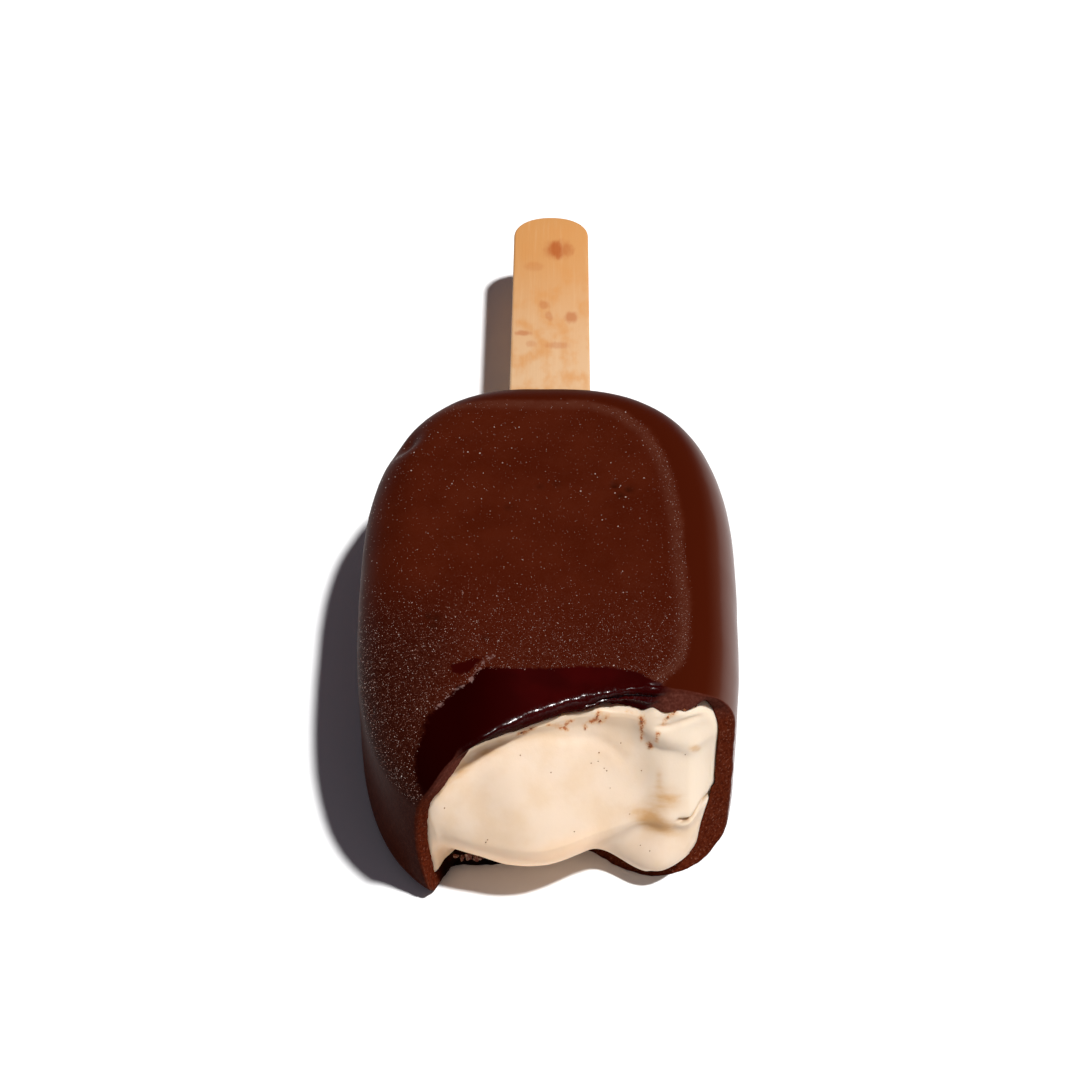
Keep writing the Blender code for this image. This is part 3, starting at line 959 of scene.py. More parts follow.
def make_ice_cream():
    rows, looks = ice_rows()
    across, rise = rows[..., 0], rise_of(rows)
    near = [distance_to_line(across, rise, line) - spread for line, spread in SMEARS]
    from_mark = np.hypot((across - PAINTED_SHADOW_MARK[0]) / 0.9, (rise - PAINTED_SHADOW_MARK[1]) / 0.5)
    looks["tan"] = np.maximum(looks["tan"], 0.6 * smooth(1.5, 0.2, from_mark))
    looks["smear"] = np.min(near, axis=0)
    ice = grid_from_rows(rows, looks)
    return finish_piece(ice, "vanilla_filling", "vanilla", ice_cream_finish(), "ice_cream")


# ---------------------------------------------------------------- frost, crumbs and specks

CRYSTAL_SIZE = 0.036              # half of a usual crystal
CRYSTAL_SCATTER = 0.16            # how far crystals lie from the middles of the coat's faces
SPECK_SIZE = 0.085
LARGE_CRYSTALS = ((8.8, 9.8), (8.1, 8.5), (9.4, 7.8), (5.7, 11.9), (11.7, 11.2), (3.9, 8.8),
                  (8.4, 2.7), (6.5, 3.8), (9.6, 23.2), (-3.8, 20.3), (-8.6, 15.5),
                  (-6.9, 20.3), (-10.1, 15.7), (-16.8, 15.6), (-17.0, 12.3), (-11.9, 10.0))
LARGE_CRYSTAL_SIZE = 0.11

CRUMB_PROUD = 0.3                 # how far out a crumb's middle sits, as a share of its size
# Crumbs of chocolate stuck to the ice cream, as (across, rise), half size.
ICE_CRUMBS = ((5.7, -3.85, 0.14), (6.1, -4.3, 0.13), (4.4, -5.2, 0.12), (-2.9, -5.6, 0.14),
              (-1.8, -5.2, 0.12), (10.8, -4.2, 0.17), (11.8, -7.25, 0.15), (13.8, -3.75, 0.15),
              (15.5, -2.95, 0.34), (16.2, -2.7, 0.30), (16.9, -2.5, 0.26), (14.6, -3.1, 0.16))
# Crumbs lying where the coat's floor broke, as (across, along, height), half size.
FLOOR_CRUMBS = ((-11.2, -31.3, 1.5, 0.35), (-10.6, -31.2, 1.7, 0.42), (-9.9, -31.3, 1.5, 0.4),
                (-9.1, -31.2, 1.6, 0.45), (-8.3, -31.2, 1.4, 0.4), (-7.6, -31.1, 1.5, 0.42),
                (-6.9, -31.0, 1.4, 0.38), (-6.2, -30.9, 1.3, 0.3))
SPECKS = ((5.1, -9.2), (6.0, -8.0), (6.9, -10.1), (7.3, -12.1), (0.5, -10.2), (-6.7, -17.9),
          (10.9, -10.1), (6.6, -9.8), (5.9, -9.0), (-6.9, -18.2), (10.9, -19.0), (12.0, -19.6),
          (-3.0, -8.2), (8.5, -6.9), (15.9, -8.2), (3.2, -17.0), (-11.6, -14.2), (9.6, -15.2))


def faces_of(piece):
    """Middle, outward direction and area of every face, in bar millimetres."""
    faces = piece.data.polygons
    area = read(faces, "area", 1)[:, 0] / MM ** 2
    return from_frame(read(faces, "center")), read(faces, "normal"), area


def met_from_above(piece, across, rise):
    """Where a line of sight from above and in front first meets a piece, and its normal there."""
    far = 80.0
    start = np.array([across, (rise - far) * math.sqrt(0.5), (rise + far) * math.sqrt(0.5)])
    found, place, normal, _ = piece.ray_cast(Vector(to_frame(start)), Vector((0.0, 1.0, -1.0)))
    if not found:
        raise RuntimeError(f"no surface of {piece.name} at {across}, {rise}")
    return from_frame(np.array(place)), np.array(normal)


def random_turns(random, count):
    """Random rotations as matrices."""
    w, x, y, z = unit(random.normal(size=(count, 4))).T
    rows = ((1 - 2 * (y * y + z * z), 2 * (x * y - w * z), 2 * (x * z + w * y)),
            (2 * (x * y + w * z), 1 - 2 * (x * x + z * z), 2 * (y * z - w * x)),
            (2 * (x * z - w * y), 2 * (y * z + w * x), 1 - 2 * (x * x + y * y)))
    return np.stack([np.stack(row, axis=-1) for row in rows], axis=-2)


def strewn(places, sizes, turns, shades, subdivisions=1, roughness=0.0):
    """A ball copied to every place, each copy squashed, turned and shaded its own way."""
    deselect_all()
    bpy.ops.mesh.primitive_ico_sphere_add(subdivisions=subdivisions, radius=1)
    grains = bpy.context.object
    ball = read(grains.data.vertices, "co")
    copies = grains.modifiers.new("copies", "ARRAY")
    copies.count = len(places)
    copies.use_relative_offset = False
    copies.use_constant_offset = True
    copies.constant_offset_displace = (3.0, 0.0, 0.0)
    apply_modifiers(grains)
    balls = np.repeat(ball[None], len(places), axis=0)
    if roughness:
        offset = 10.0 * np.arange(len(places))[:, None, None]
        balls = balls * (1 + roughness * grain(balls + offset, 0.8))[..., None]
    shaped = np.einsum("kij,knj->kni", turns, balls * sizes[:, None, :]) + places[:, None, :]
    grains.data.vertices.foreach_set("co", to_frame(shaped).ravel())
    store(grains, "shade", np.repeat(shades, len(ball)))
    grains.data.update()
    return grains


def frost_density(places):
    """Crystals for each square millimetre of the coat."""
    across, along, height = np.moveaxis(places, -1, 0)
    edge = inside_distance(across, along, FROST_EDGE)
    wiped = inside_distance(across, rise_of(places), WIPED_EDGE)
    line = bell(edge - 0.7, 0.8) * smooth(4.0, 9.0, across)
    front = smooth(-4.0, -19.0, along)
    left = smooth(-2.0, -13.0, across) * smooth(-3.0, -10.0, along)
    smudge = inside_distance(across, rise_of(places), SMUDGE)
    density = 0.4 + 2.0 * line + 2.1 * front + 0.4 * left + 1.8 * bell(wiped + 0.15, 0.25)
    bare = smooth(0.12, -0.12, wiped) * smooth(0.2, 0.0, smudge)
    return density * bare * smooth(-0.2, 0.2, edge) * smooth(10.0, 15.0, height)


def make_frost():
    """Ice crystals, each a squashed ball of twenty faces."""
    coat = bpy.data.objects["coat"]
    random = np.random.RandomState(7)
    middle, normal, area = faces_of(coat)
    outside = (normal * (middle - (0, 0, HUB_HEIGHT)) * (1, 0, 1)).sum(axis=1) > 0
    weight = area * frost_density(middle) * (outside & (normal[:, 2] > 0.1))
    count = settings().frost_count
    chosen = random.choice(len(weight), count, p=weight / weight.sum())
    jitter = CRYSTAL_SCATTER * random.normal(size=(count, 3))
    out = normal[chosen]
    jitter -= out * (jitter * out).sum(axis=1)[:, None]
    places = middle[chosen] + jitter
    spread = CRYSTAL_SIZE * np.exp(0.30 * random.normal(size=count))
    large = [met_from_above(coat, x, (y + THICKNESS) * math.sqrt(0.5)) for x, y in LARGE_CRYSTALS]
    places = np.concatenate([places, [place for place, _ in large]])
    spread = np.concatenate([spread, np.full(len(large), LARGE_CRYSTAL_SIZE)])
    sizes = spread[:, None] * random.uniform(0.6, 1.25, size=(len(spread), 3))
    shades = random.uniform(0.0, 1.0, size=len(spread)) ** 4.0
    shades[count:] = 0.6
    frost = strewn(places, sizes, random_turns(random, len(spread)), shades)
    return finish_piece(frost, "frost_crystals", "vanilla", frost_finish())


def make_crumbs():
    """Crumbs of chocolate on the ice cream and where the coat's floor broke."""
    ice = bpy.data.objects["vanilla_filling"]
    random = np.random.RandomState(11)
    on_ice = [met_from_above(ice, x, rise) for x, rise, _ in ICE_CRUMBS]
    places = [place + CRUMB_PROUD * size * normal
              for (place, normal), (_, _, size) in zip(on_ice, ICE_CRUMBS)]
    places += [np.array(crumb[:3]) for crumb in FLOOR_CRUMBS]
    spread = np.array([crumb[2] for crumb in ICE_CRUMBS] + [crumb[3] for crumb in FLOOR_CRUMBS])
    sizes = spread[:, None] * random.uniform(0.55, 1.15, size=(len(spread), 3))
    shades = np.concatenate([np.full(len(on_ice), 1.0), np.zeros(len(FLOOR_CRUMBS))])
    crumbs = strewn(np.array(places), sizes, random_turns(random, len(spread)), shades,
                    subdivisions=3, roughness=0.8)
    return finish_piece(crumbs, "chocolate_crumbs", "chocolate", crumb_finish())


def make_specks():
    """Flecks of vanilla pod in the ice cream."""
    ice = bpy.data.objects["vanilla_filling"]
    random = np.random.RandomState(5)
    places = np.array([met_from_above(ice, x, rise)[0] for x, rise in SPECKS])
    sizes = SPECK_SIZE * random.uniform(0.7, 1.3, size=(len(SPECKS), 3))
    turns = random_turns(random, len(SPECKS))
    specks = strewn(places, sizes, turns, random.uniform(size=len(SPECKS)))
    return finish_piece(specks, "vanilla_specks", "vanilla", speck_finish())


# ---------------------------------------------------------------- stick


def stick_outline(count):
    """Outline of the stick from above."""
    turn = np.linspace(0.0, math.pi, count)
    power = 2 / STICK_END_SQUARENESS
    bulge = STICK_END_LENGTH * np.sin(turn) ** power
    side = signed_power(np.cos(turn), power)
    x = np.concatenate([side * STICK_TIP_WIDTH / 2, -side * STICK_WIDTH / 2])
    y = np.concatenate([STICK_TIP - STICK_END_LENGTH + bulge,
                        STICK_BURIED_END + STICK_END_LENGTH - bulge])
    return x, y


def make_stick():
    deselect_all()
    bpy.ops.mesh.primitive_circle_add(vertices=STICK_AROUND, fill_type="NGON", radius=1)
    stick = bpy.context.object
    x, y = stick_outline(STICK_AROUND // 2)
    z = np.full_like(x, STICK_HEIGHT - STICK_THICKNESS / 2)
    stick.data.vertices.foreach_set("co", to_frame(np.stack([x, y, z], axis=-1)).ravel())
    bpy.ops.object.mode_set(mode="EDIT")
    bpy.ops.mesh.select_all(action="SELECT")
    bpy.ops.mesh.extrude_region_move(
        TRANSFORM_OT_translate={"value": (0, 0, STICK_THICKNESS * MM)})
    bpy.ops.mesh.select_all(action="SELECT")
    bpy.ops.mesh.normals_make_consistent(inside=False)
    for along in np.arange(REAR_LENGTH - 3, STICK_TIP - STICK_END_LENGTH, 2.0):
        bpy.ops.mesh.select_all(action="SELECT")
        bpy.ops.mesh.bisect(plane_co=(0, (along + MIDDLE) * MM, 0), plane_no=(0, 1, 0))
    bpy.ops.object.mode_set(mode="OBJECT")
    edges = stick.modifiers.new("soft edges", "BEVEL")
    edges.width = STICK_EDGE * MM
    edges.segments = 4
    edges.limit_method = "ANGLE"
    edges.angle_limit = math.radians(60)
    apply_modifiers(stick)
    stick.data.shade_smooth()
    stick.data.set_sharp_from_angle(angle=math.radians(40))
    return finish_piece(stick, "birch_stick", "birch", birch_finish(), "stick")


# ---------------------------------------------------------------- materials


class Value:
    """A shader socket. Arithmetic on it adds Math nodes."""

    def __init__(self, nodes, socket):
        self.nodes = nodes
        self.socket = socket

    def math(self, operation, *values):
        return self.nodes.node("ShaderNodeMath", {"operation": operation},
                               dict(enumerate(values)))

    def __add__(self, other):
        return self.math("ADD", self, other)

    def __radd__(self, other):
        return self.math("ADD", other, self)

    def __sub__(self, other):
        return self.math("SUBTRACT", self, other)

    def __rsub__(self, other):
        return self.math("SUBTRACT", other, self)

    def __mul__(self, other):
        return self.math("MULTIPLY", self, other)

    def __rmul__(self, other):
        return self.math("MULTIPLY", other, self)

    def over(self, start, end):
        """Smooth rise from 0 where this value is start to 1 where it is end."""
        return self.nodes.node("ShaderNodeMapRange", {"interpolation_type": "SMOOTHSTEP"},
                               {"Value": self, "From Min": start, "From Max": end})


class Nodes:
    """A node tree being filled."""

    def __init__(self, tree):
        self.tree = tree

    def node(self, kind, choices=None, inputs=None, output=0):
        """Add a node, make its choices, feed its inputs and return one of its outputs."""
        made = self.tree.nodes.new(kind)
        for label, value in (choices or {}).items():
            setattr(made, label, value)
        for label, value in (inputs or {}).items():
            self.feed(made.inputs[label], value)
        return Value(self, made.outputs[output])

    def feed(self, socket, value):
        if isinstance(value, Value):
            self.tree.links.new(value.socket, socket)
        else:
            socket.default_value = value

    def blend(self, share, first, second):
        """Colour between two others."""
        return self.node("ShaderNodeMix", {"data_type": "RGBA"},
                         {0: share, 6: self.opaque(first), 7: self.opaque(second)}, output=2)

    @staticmethod
    def opaque(colour):
        return colour if isinstance(colour, Value) else (*colour[:3], 1.0)


class Finish(Nodes):
    """A material being built on one Principled shader."""

    def __init__(self, name, **constants):
        self.material = bpy.data.materials.new(name)
        self.material.use_nodes = True
        super().__init__(self.material.node_tree)
        self.shader = self.tree.nodes["Principled BSDF"]
        for label, value in constants.items():
            self.shader.inputs[label.replace("_", " ")].default_value = value
        self.millimetres = self.node(
            "ShaderNodeMapping", {},
            {"Vector": self.node("ShaderNodeTexCoord", output="Object"),
             "Location": (0.0, -MIDDLE, 0.0), "Scale": (1 / MM, 1 / MM, 1 / MM)})

    def look(self, name):
        """A value stored on the piece's points."""
        return self.node("ShaderNodeAttribute", {"attribute_name": name}, output="Fac")

    def place(self, axis):
        """Distance across (X), along (Y) or up (Z) in bar millimetres."""
        return self.node("ShaderNodeSeparateXYZ", {}, {"Vector": self.millimetres}, output=axis)

    def speckle(self, size, detail=2.0, stretch=(1.0, 1.0, 1.0)):
        """Noise from 0 to 1 whose lumps are a size across, in millimetres."""
        place = self.node("ShaderNodeMapping", {}, {
            "Vector": self.millimetres, "Scale": tuple(1 / (size * part) for part in stretch)})
        return self.node("ShaderNodeTexNoise", {}, {
            "Vector": place, "Scale": 1.0, "Detail": detail})

    def spot(self, x, along, half_width, half_length, turn=0.0):
        """Distance from an upright oval column: 0 at its middle and 1 at its edge."""
        place = self.node("ShaderNodeMapping", {"vector_type": "TEXTURE"}, {
            "Vector": self.millimetres, "Location": (x, along, STICK_HEIGHT),
            "Rotation": (0.0, 0.0, turn), "Scale": (half_width, half_length, THICKNESS)})
        return self.node("ShaderNodeVectorMath", {"operation": "LENGTH"}, {0: place},
                         output="Value")

    def bump(self, height):
        """Normals from a height in millimetres."""
        return self.node("ShaderNodeBump", {},
                         {"Height": height, "Strength": 1.0, "Distance": MM})

    def done(self, **sockets):
        for label, value in sockets.items():
            self.feed(self.shader.inputs[label.replace("_", " ")], value)
        return self.material


def tinted(colour, *gains):
    return tuple(min(1.0, part * gain) for part, gain in zip(colour, gains))


# Colours that chocolate takes in places, and colours of painted light on it: a painted reflection
# on its side and painted shade in its hollows.
FINE_DUST = (0.105, 0.036, 0.022)
DUST_LINE = (0.085, 0.026, 0.015)
# Painted reflection: the pale colour along the side that faces the light, where the white table is
# reflected.
PAINTED_SIDE_REFLECTION = (0.20, 0.080, 0.046)
SMUDGED = (0.022, 0.0010, 0.0006)
SCRAPED = (0.24, 0.145, 0.13)
CHIPS = (0.17, 0.062, 0.038)
BROKEN_TOP = (0.062, 0.0140, 0.0085)
PALE_BROKEN_TOP = (0.100, 0.029, 0.020)
# Painted shade in the hollow where the broken floor meets the table and in the dimples.
DEEP_SHADE = (0.006, 0.0015, 0.0006)


def frosted_colour(finish, dusted, fine, middling):
    """Chocolate under frost, greyer with fine dust, darker towards the bite, and with painted shade
    at the left near the bite.
    """
    chocolate = settings().chocolate
    towards_bite = finish.place("Y").over(-2.0, -20.0)
    plain = finish.blend(finish.speckle(5.0, 3.0).over(0.3, 0.7),
                         tinted(chocolate, 0.94, 0.90, 0.9), tinted(chocolate, 1.12, 1.25, 1.5))
    plain = finish.blend(towards_bite * 0.9, plain, tinted(chocolate, 0.84, 0.72, 0.7))
    # Painted shade at the left near the bite, where the side turns from the light.
    plain = finish.blend(finish.place("X").over(-7.0, -15.5) * towards_bite, plain,
                         tinted(chocolate, 0.46, 0.42, 0.5))
    grey = (fine + 0.35 * middling).over(0.56, 0.98) * (0.10 + 0.22 * towards_bite)
    dust = finish.blend(grey, plain, FINE_DUST)
    frosted = finish.look("frosted")
    rim = frosted.over(-0.3, 0.6) * frosted.over(2.4, 0.9)
    dust = finish.blend(rim * (0.1 + 0.6 * middling), dust, DUST_LINE)
    return finish.blend(dusted, tinted(chocolate, 0.88, 0.85, 0.9), dust)


def wiped_colour(finish):
    """Wet chocolate, darkest at the left."""
    wiped = settings().wiped_chocolate
    clean = finish.blend(finish.speckle(5.0, 3.0).over(0.35, 0.7), wiped,
                         tinted(wiped, 1.5, 1.5, 1.5))
    return finish.blend(finish.place("X").over(-1.0, -10.0), clean,
                        tinted(wiped, 0.45, 0.4, 0.4))


def broken_colour(finish):
    """Chocolate bitten through: speckled, with paler chips, and paler at the top."""
    broken = settings().broken_chocolate
    colour = finish.blend(finish.speckle(0.35).over(0.3, 0.7), broken,
                          tinted(broken, 1.8, 2.6, 3.5))
    colour = finish.blend(finish.speckle(0.25, 1.0).over(0.60, 0.72) * 0.6, colour, CHIPS)
    top = finish.blend(finish.speckle(0.3, 2.0).over(0.35, 0.8), BROKEN_TOP, PALE_BROKEN_TOP)
    return finish.blend(finish.place("Z").over(17.0, 20.0), colour, top)


def chocolate_finish():
    """Dark chocolate: dusted with frost, wiped clean near the bite and matte where it broke."""
    finish = Finish("dark chocolate", IOR=1.46, Specular_IOR_Level=0.006, Coat_IOR=1.46,
                    Coat_Roughness=0.2)
    fine, middling = finish.speckle(0.16), finish.speckle(0.8, 3.0)
    ragged = 0.8 * middling + 0.45 * finish.speckle(0.3) - 0.62
    wiped = (finish.look("wiped") + 0.75 * ragged).over(-0.16, 0.18)
    dusted = (finish.look("frosted") + 1.1 * ragged).over(-0.55, 0.45)
    smudged = (finish.look("smudge") + ragged).over(-0.15, 0.2)
    scraped = (finish.look("scrape") + 1.4 * ragged).over(0.12, -0.08)
    cut, lip, underside = finish.look("cut"), finish.look("lip"), finish.look("underside")
    sheen = finish.look("sheen")

    colour = frosted_colour(finish, dusted, fine, middling)
    # Painted reflection along the side that faces right.
    colour = finish.blend(sheen * 0.34, colour, PAINTED_SIDE_REFLECTION)
    colour = finish.blend(wiped, colour, wiped_colour(finish))
    colour = finish.blend(smudged, colour, SMUDGED)
    colour = finish.blend(scraped * 0.5, colour, SCRAPED)
    colour = finish.blend(cut, colour, broken_colour(finish))
    # Painted shade in the hollow at the floor and in the dimples.
    colour = finish.blend(finish.look("hollow"), colour, DEEP_SHADE)

    rough = 0.34 + 0.04 * fine - 0.10 * wiped + 0.35 * cut + 0.2 * scraped
    height = (0.014 * finish.speckle(0.22) + 0.010 * middling) * (1.0 - wiped) * dusted
    height += 0.010 * finish.speckle(1.6) * (1.0 - cut)
    height += 0.11 * finish.speckle(0.25) * lip
    height += 0.08 * finish.speckle(0.45, 3.0) * cut
    wet = 0.6 * wiped * (1.0 - underside) + 0.55 * (1.0 - dusted) * (1.0 - wiped) * sheen
    crest = lip * (1.0 - underside)
    grainy = 0.05 + 0.85 * finish.speckle(0.22, 2.0).over(0.46, 0.60)
    gloss = (wet * (1.0 - crest) + crest * grainy) * (1.0 - cut)
    return finish.done(Base_Color=colour, Roughness=rough, Normal=finish.bump(height),
                       Coat_Weight=gloss)


# Colours that the ice cream takes in places, and colours of painted light and shade on it.
# Painted warm light on the lower part of the main lump.
PAINTED_WARM_UNDERSIDE_LIGHT = (0.94, 0.64, 0.40)
PAINTED_SHADE_TAN = (0.53, 0.30, 0.12)
SMEAR_HALO = (0.60, 0.30, 0.10)


def ice_cream_finish():
    """Vanilla ice cream: pale and creamy, with tan painted shade in its hollows, painted light at
    the right and warm painted light low down, smeared with chocolate.
    """
    finish = Finish("vanilla ice cream", IOR=1.33, Subsurface_Weight=0.45,
                    Subsurface_Scale=0.0014, Subsurface_Radius=(1.0, 0.75, 0.5))
    bar = settings()
    patches, fine = finish.speckle(4.0, 3.0), finish.speckle(0.5)
    cream = finish.blend(patches.over(0.35, 0.7), tinted(bar.vanilla, 1.02, 1.02, 1.03),
                         tinted(bar.vanilla, 0.97, 0.92, 0.85))
    streaks = finish.speckle(1.3, 3.0, stretch=(1.7, 1.0, 0.6))
    # Tan painted shade in the creases, hollows and crack, broken up by streaks.
    tan = (finish.look("tan") * (0.25 + 1.5 * streaks) + 0.25 * patches - 0.12).over(0.05, 0.85)
    # Painted light: whiter on the right, where the ice cream faces the light.
    painted_light_at_right = finish.place("X").over(7.0, 16.0) * finish.place("Z").over(6.0, 11.0)
    cream = finish.blend(painted_light_at_right, cream, tinted(bar.vanilla, 1.05, 1.09, 1.12))
    # Painted warm light low down on the main lump.
    cream = finish.blend(finish.look("undercut") * 0.75, cream, PAINTED_WARM_UNDERSIDE_LIGHT)
    body = finish.blend(tan * 0.95, cream, PAINTED_SHADE_TAN)
    ragged = 0.6 * finish.speckle(0.55, 3.0) + 0.35 * finish.speckle(0.2) - 0.47
    halo = (finish.look("smear") + ragged).over(0.32, -0.12)
    core = (finish.look("smear") + 1.3 * ragged).over(0.02, -0.20)
    stained = finish.blend(halo * 0.55, body, SMEAR_HALO)
    colour = finish.blend(core * 0.9, stained, bar.smear)
    height = 0.022 * finish.speckle(0.9, 3.0) + 0.006 * finish.speckle(0.25)
    return finish.done(Base_Color=colour, Roughness=0.36 + 0.2 * fine,
                       Normal=finish.bump(height))


MARK_BROWN = (0.37, 0.090, 0.012)

# Marks on top of the stick: (across, along, half width, half length, turn), strength.
BIRCH_MARKS = (((0.95, 69.3, 2.3, 2.5, 0.0), 0.42), ((2.3, 69.2, 1.2, 1.5, 0.0), 0.35),
               ((0.70, 69.2, 1.1, 2.2, 0.1), 0.95), ((2.82, 54.6, 1.1, 1.4, 0.0), 0.6),
               ((-0.9, 57.2, 0.9, 1.1, 0.3), 0.4), ((-0.2, 54.8, 0.6, 1.3, 0.2), 0.35),
               ((-3.7, 51.2, 1.3, 0.7, 0.0), 0.55), ((1.0, 48.7, 1.9, 0.9, 0.0), 0.35),
               ((-2.6, 49.0, 0.9, 0.8, 0.0), 0.25), ((-2.4, 65.5, 1.6, 1.2, 0.0), 0.22))


def birch_finish():
    """Birch, paler near the chocolate, with soft blotches, faint grain and a knot."""
    finish = Finish("birch", IOR=1.5)
    birch = settings().birch
    near, far = tinted(birch, 1.07, 1.27, 1.7), tinted(birch, 0.97, 0.84, 0.62)
    colour = finish.blend(finish.place("Y").over(40.0, 72.0), near, far)
    blotch = finish.speckle(2.2, 3.0, stretch=(1.0, 1.7, 1.0))
    streak = finish.speckle(0.5, 3.0, stretch=(1.0, 16.0, 1.0))
    colour = finish.blend(blotch.over(0.42, 0.72) * 0.75, colour, tinted(birch, 0.98, 0.82, 0.58))
    colour = finish.blend(streak.over(0.5, 0.85) * 0.35, colour, tinted(birch, 1.1, 1.25, 1.5))
    edge = 0.7 * finish.speckle(0.5, 3.0, stretch=(1.0, 3.0, 1.0)) - 0.35
    for mark, strength in BIRCH_MARKS:
        share = (finish.spot(*mark) + edge).over(1.15, 0.45)
        colour = finish.blend(share * strength, colour, MARK_BROWN)
    height = 0.02 * finish.speckle(0.35, 2.0, stretch=(1.0, 30.0, 1.0))
    return finish.done(Base_Color=colour, Roughness=0.5 + 0.2 * streak,
                       Normal=finish.bump(height))


# Pairs of colours of the small things.
CLEAR_ICE = (0.17, 0.062, 0.040)
DRY_CRUMB, DUSTY_CRUMB = (0.16, 0.035, 0.015), (0.60, 0.42, 0.30)
WET_CRUMB, ORANGE_CRUMB = (0.10, 0.018, 0.003), (0.42, 0.13, 0.022)
DARK_POD, PALE_POD = (0.10, 0.035, 0.012), (0.22, 0.10, 0.04)
TABLE_WHITE, TABLE_CLOUD = (0.86, 0.86, 0.86), (0.90, 0.90, 0.90)


def frost_finish():
    """Ice crystals, from chocolate seen through them to white."""
    finish = Finish("frost", IOR=1.31)
    shade = finish.look("shade")
    colour = finish.blend(shade, CLEAR_ICE, settings().frost)
    return finish.done(Base_Color=colour, Roughness=0.42 - 0.2 * shade)


def crumb_finish():
    """Crumbs of chocolate: melted orange on the ice cream, dusty where the floor broke."""
    finish = Finish("chocolate crumbs", IOR=1.46)
    melting = finish.look("shade")
    grainy = finish.speckle(0.3, 3.0)
    dry = finish.blend(grainy.over(0.45, 0.75), DRY_CRUMB, DUSTY_CRUMB)
    wet = finish.blend(grainy.over(0.35, 0.7), WET_CRUMB, ORANGE_CRUMB)
    height = 0.08 * finish.speckle(0.25, 3.0)
    return finish.done(Base_Color=finish.blend(melting, dry, wet),
                       Roughness=0.65 - 0.3 * melting, Normal=finish.bump(height))


def speck_finish():
    """Flecks of vanilla pod, in two browns."""
    finish = Finish("vanilla specks", IOR=1.45)
    colour = finish.blend(finish.look("shade"), DARK_POD, PALE_POD)
    return finish.done(Base_Color=colour, Roughness=0.6)


def floor_finish():
    """Matt white, with very soft clouds."""
    finish = Finish("white table", Roughness=0.9)
    colour = finish.blend(finish.speckle(60.0), TABLE_WHITE, TABLE_CLOUD)
    return finish.done(Base_Color=colour)


# ---------------------------------------------------------------- stage

CAMERA_PLACE = (0.842, -230.203, 253.335)
CAMERA_PITCH = math.radians(45.0)
CAMERA_TURN = 0.008
CAMERA_LENS = 90.406
LIGHT_FROM = (0.382, -0.115, 1.0)
LIGHT_ANGLE = math.radians(5.0)
SKY_BEHIND = (0.015, 0.014, 0.016)
SKY_IN_FRONT = (0.128, 0.115, 0.136)


def light_sky(world):
    """Soft light from all round, strongest from the front."""
    world.use_nodes = True
    sky = Nodes(world.node_tree)
    direction = sky.node("ShaderNodeTexCoord", output="Generated")
    away = sky.node("ShaderNodeSeparateXYZ", {}, {"Vector": direction}, output="Y")
    colour = sky.blend(away.over(0.75, -0.5), SKY_BEHIND, SKY_IN_FRONT)
    sky.feed(sky.tree.nodes["Background"].inputs["Color"], colour)


def make_stage():
    scene = bpy.context.scene
    deselect_all()
    bpy.ops.mesh.primitive_plane_add(size=6.0, location=(0, 0, 0))
    floor = bpy.context.object
    floor.name = "table_top"
    floor.data.materials.append(floor_finish())
    bpy.ops.object.light_add(type="SUN", location=tuple(0.5 * part for part in LIGHT_FROM))
    key = bpy.context.object
    key.name = "key_light"
    key.rotation_euler = Vector(LIGHT_FROM).to_track_quat("Z", "Y").to_euler()
    key.data.energy = settings().key_strength
    key.data.angle = LIGHT_ANGLE
    scene.world = bpy.data.worlds.new("studio")
    light_sky(scene.world)
    place = to_frame(np.array(CAMERA_PLACE))
    bpy.ops.object.camera_add(location=tuple(place), rotation=(CAMERA_PITCH, 0.0, CAMERA_TURN))
    camera = bpy.context.object
    camera.data.lens = CAMERA_LENS
    camera.data.sensor_width = 36.0
    camera.data.clip_start = 0.01
    scene.camera = camera
    scene.view_settings.view_transform = "Standard"


# ---------------------------------------------------------------- add-on


class MakeCoat(bpy.types.Operator):
    """Model the chocolate coat"""

    bl_idname = "ice_cream_bar.coat"
    bl_label = "Chocolate Coat"

    def execute(self, context):
        make_chocolate_coat()
        return {"FINISHED"}


class MakeIceCream(bpy.types.Operator):
    """Model the vanilla ice cream"""

    bl_idname = "ice_cream_bar.ice_cream"
    bl_label = "Ice Cream"

    def execute(self, context):
        make_ice_cream()
        return {"FINISHED"}


class MakeStick(bpy.types.Operator):
    """Model the birch stick"""

    bl_idname = "ice_cream_bar.stick"
    bl_label = "Stick"

    def execute(self, context):
        make_stick()
        return {"FINISHED"}


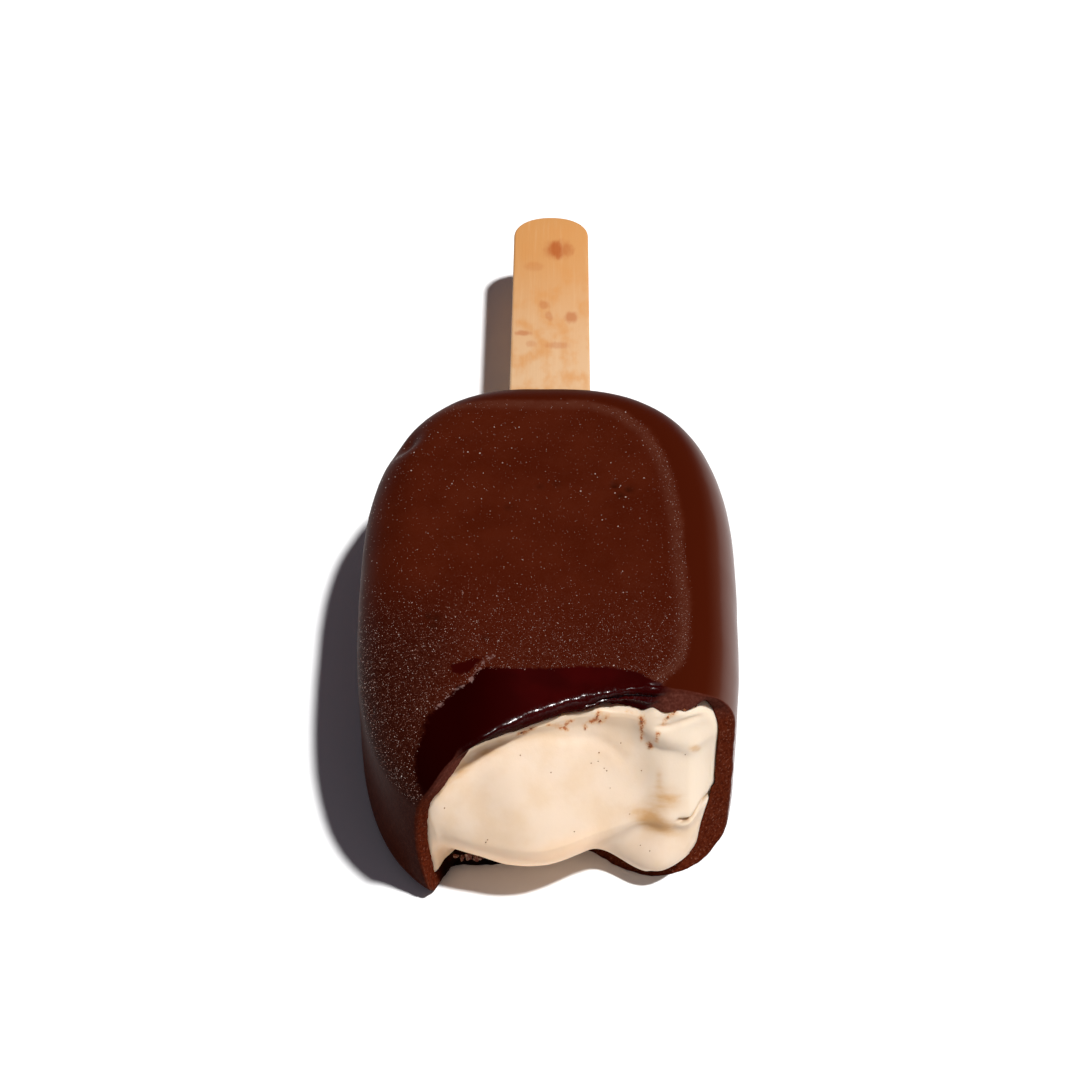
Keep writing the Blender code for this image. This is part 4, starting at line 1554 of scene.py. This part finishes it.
class MakeFrost(bpy.types.Operator):
    """Scatter ice crystals over the chocolate coat"""

    bl_idname = "ice_cream_bar.frost"
    bl_label = "Frost Crystals"

    def execute(self, context):
        make_frost()
        return {"FINISHED"}


class MakeCrumbs(bpy.types.Operator):
    """Drop crumbs of chocolate round the bite"""

    bl_idname = "ice_cream_bar.crumbs"
    bl_label = "Chocolate Crumbs"

    def execute(self, context):
        make_crumbs()
        return {"FINISHED"}


class MakeSpecks(bpy.types.Operator):
    """Set flecks of vanilla pod in the ice cream"""

    bl_idname = "ice_cream_bar.specks"
    bl_label = "Vanilla Specks"

    def execute(self, context):
        make_specks()
        return {"FINISHED"}


class MakeStage(bpy.types.Operator):
    """Set up the table top, the lights and the camera"""

    bl_idname = "ice_cream_bar.stage"
    bl_label = "Stage"

    def execute(self, context):
        make_stage()
        return {"FINISHED"}


OPERATORS = (MakeCoat, MakeIceCream, MakeStick, MakeFrost, MakeCrumbs, MakeSpecks, MakeStage)


class IceCreamBarPanel(bpy.types.Panel):
    """Sidebar panel with the sizes, colours and pieces"""

    bl_idname = "VIEW3D_PT_ice_cream_bar"
    bl_label = "Ice Cream Bar"
    bl_space_type = "VIEW_3D"
    bl_region_type = "UI"
    bl_category = "Ice Cream Bar"

    def draw(self, context):
        column = self.layout.column()
        for name in BarSettings.__annotations__:
            column.prop(context.scene.ice_cream_bar, name)
        for operator in OPERATORS:
            column.operator(operator.bl_idname)


CLASSES = (BarSettings, *OPERATORS, IceCreamBarPanel)


def register():
    for cls in CLASSES:
        bpy.utils.register_class(cls)
    bpy.types.Scene.ice_cream_bar = PointerProperty(type=BarSettings)


def unregister():
    del bpy.types.Scene.ice_cream_bar
    for cls in reversed(CLASSES):
        bpy.utils.unregister_class(cls)


def main():
    register()
    bpy.ops.ice_cream_bar.coat()
    bpy.ops.ice_cream_bar.ice_cream()
    bpy.ops.ice_cream_bar.stick()
    bpy.ops.ice_cream_bar.frost()
    bpy.ops.ice_cream_bar.crumbs()
    bpy.ops.ice_cream_bar.specks()
    bpy.ops.ice_cream_bar.stage()


if __name__ == "__main__":
    main()
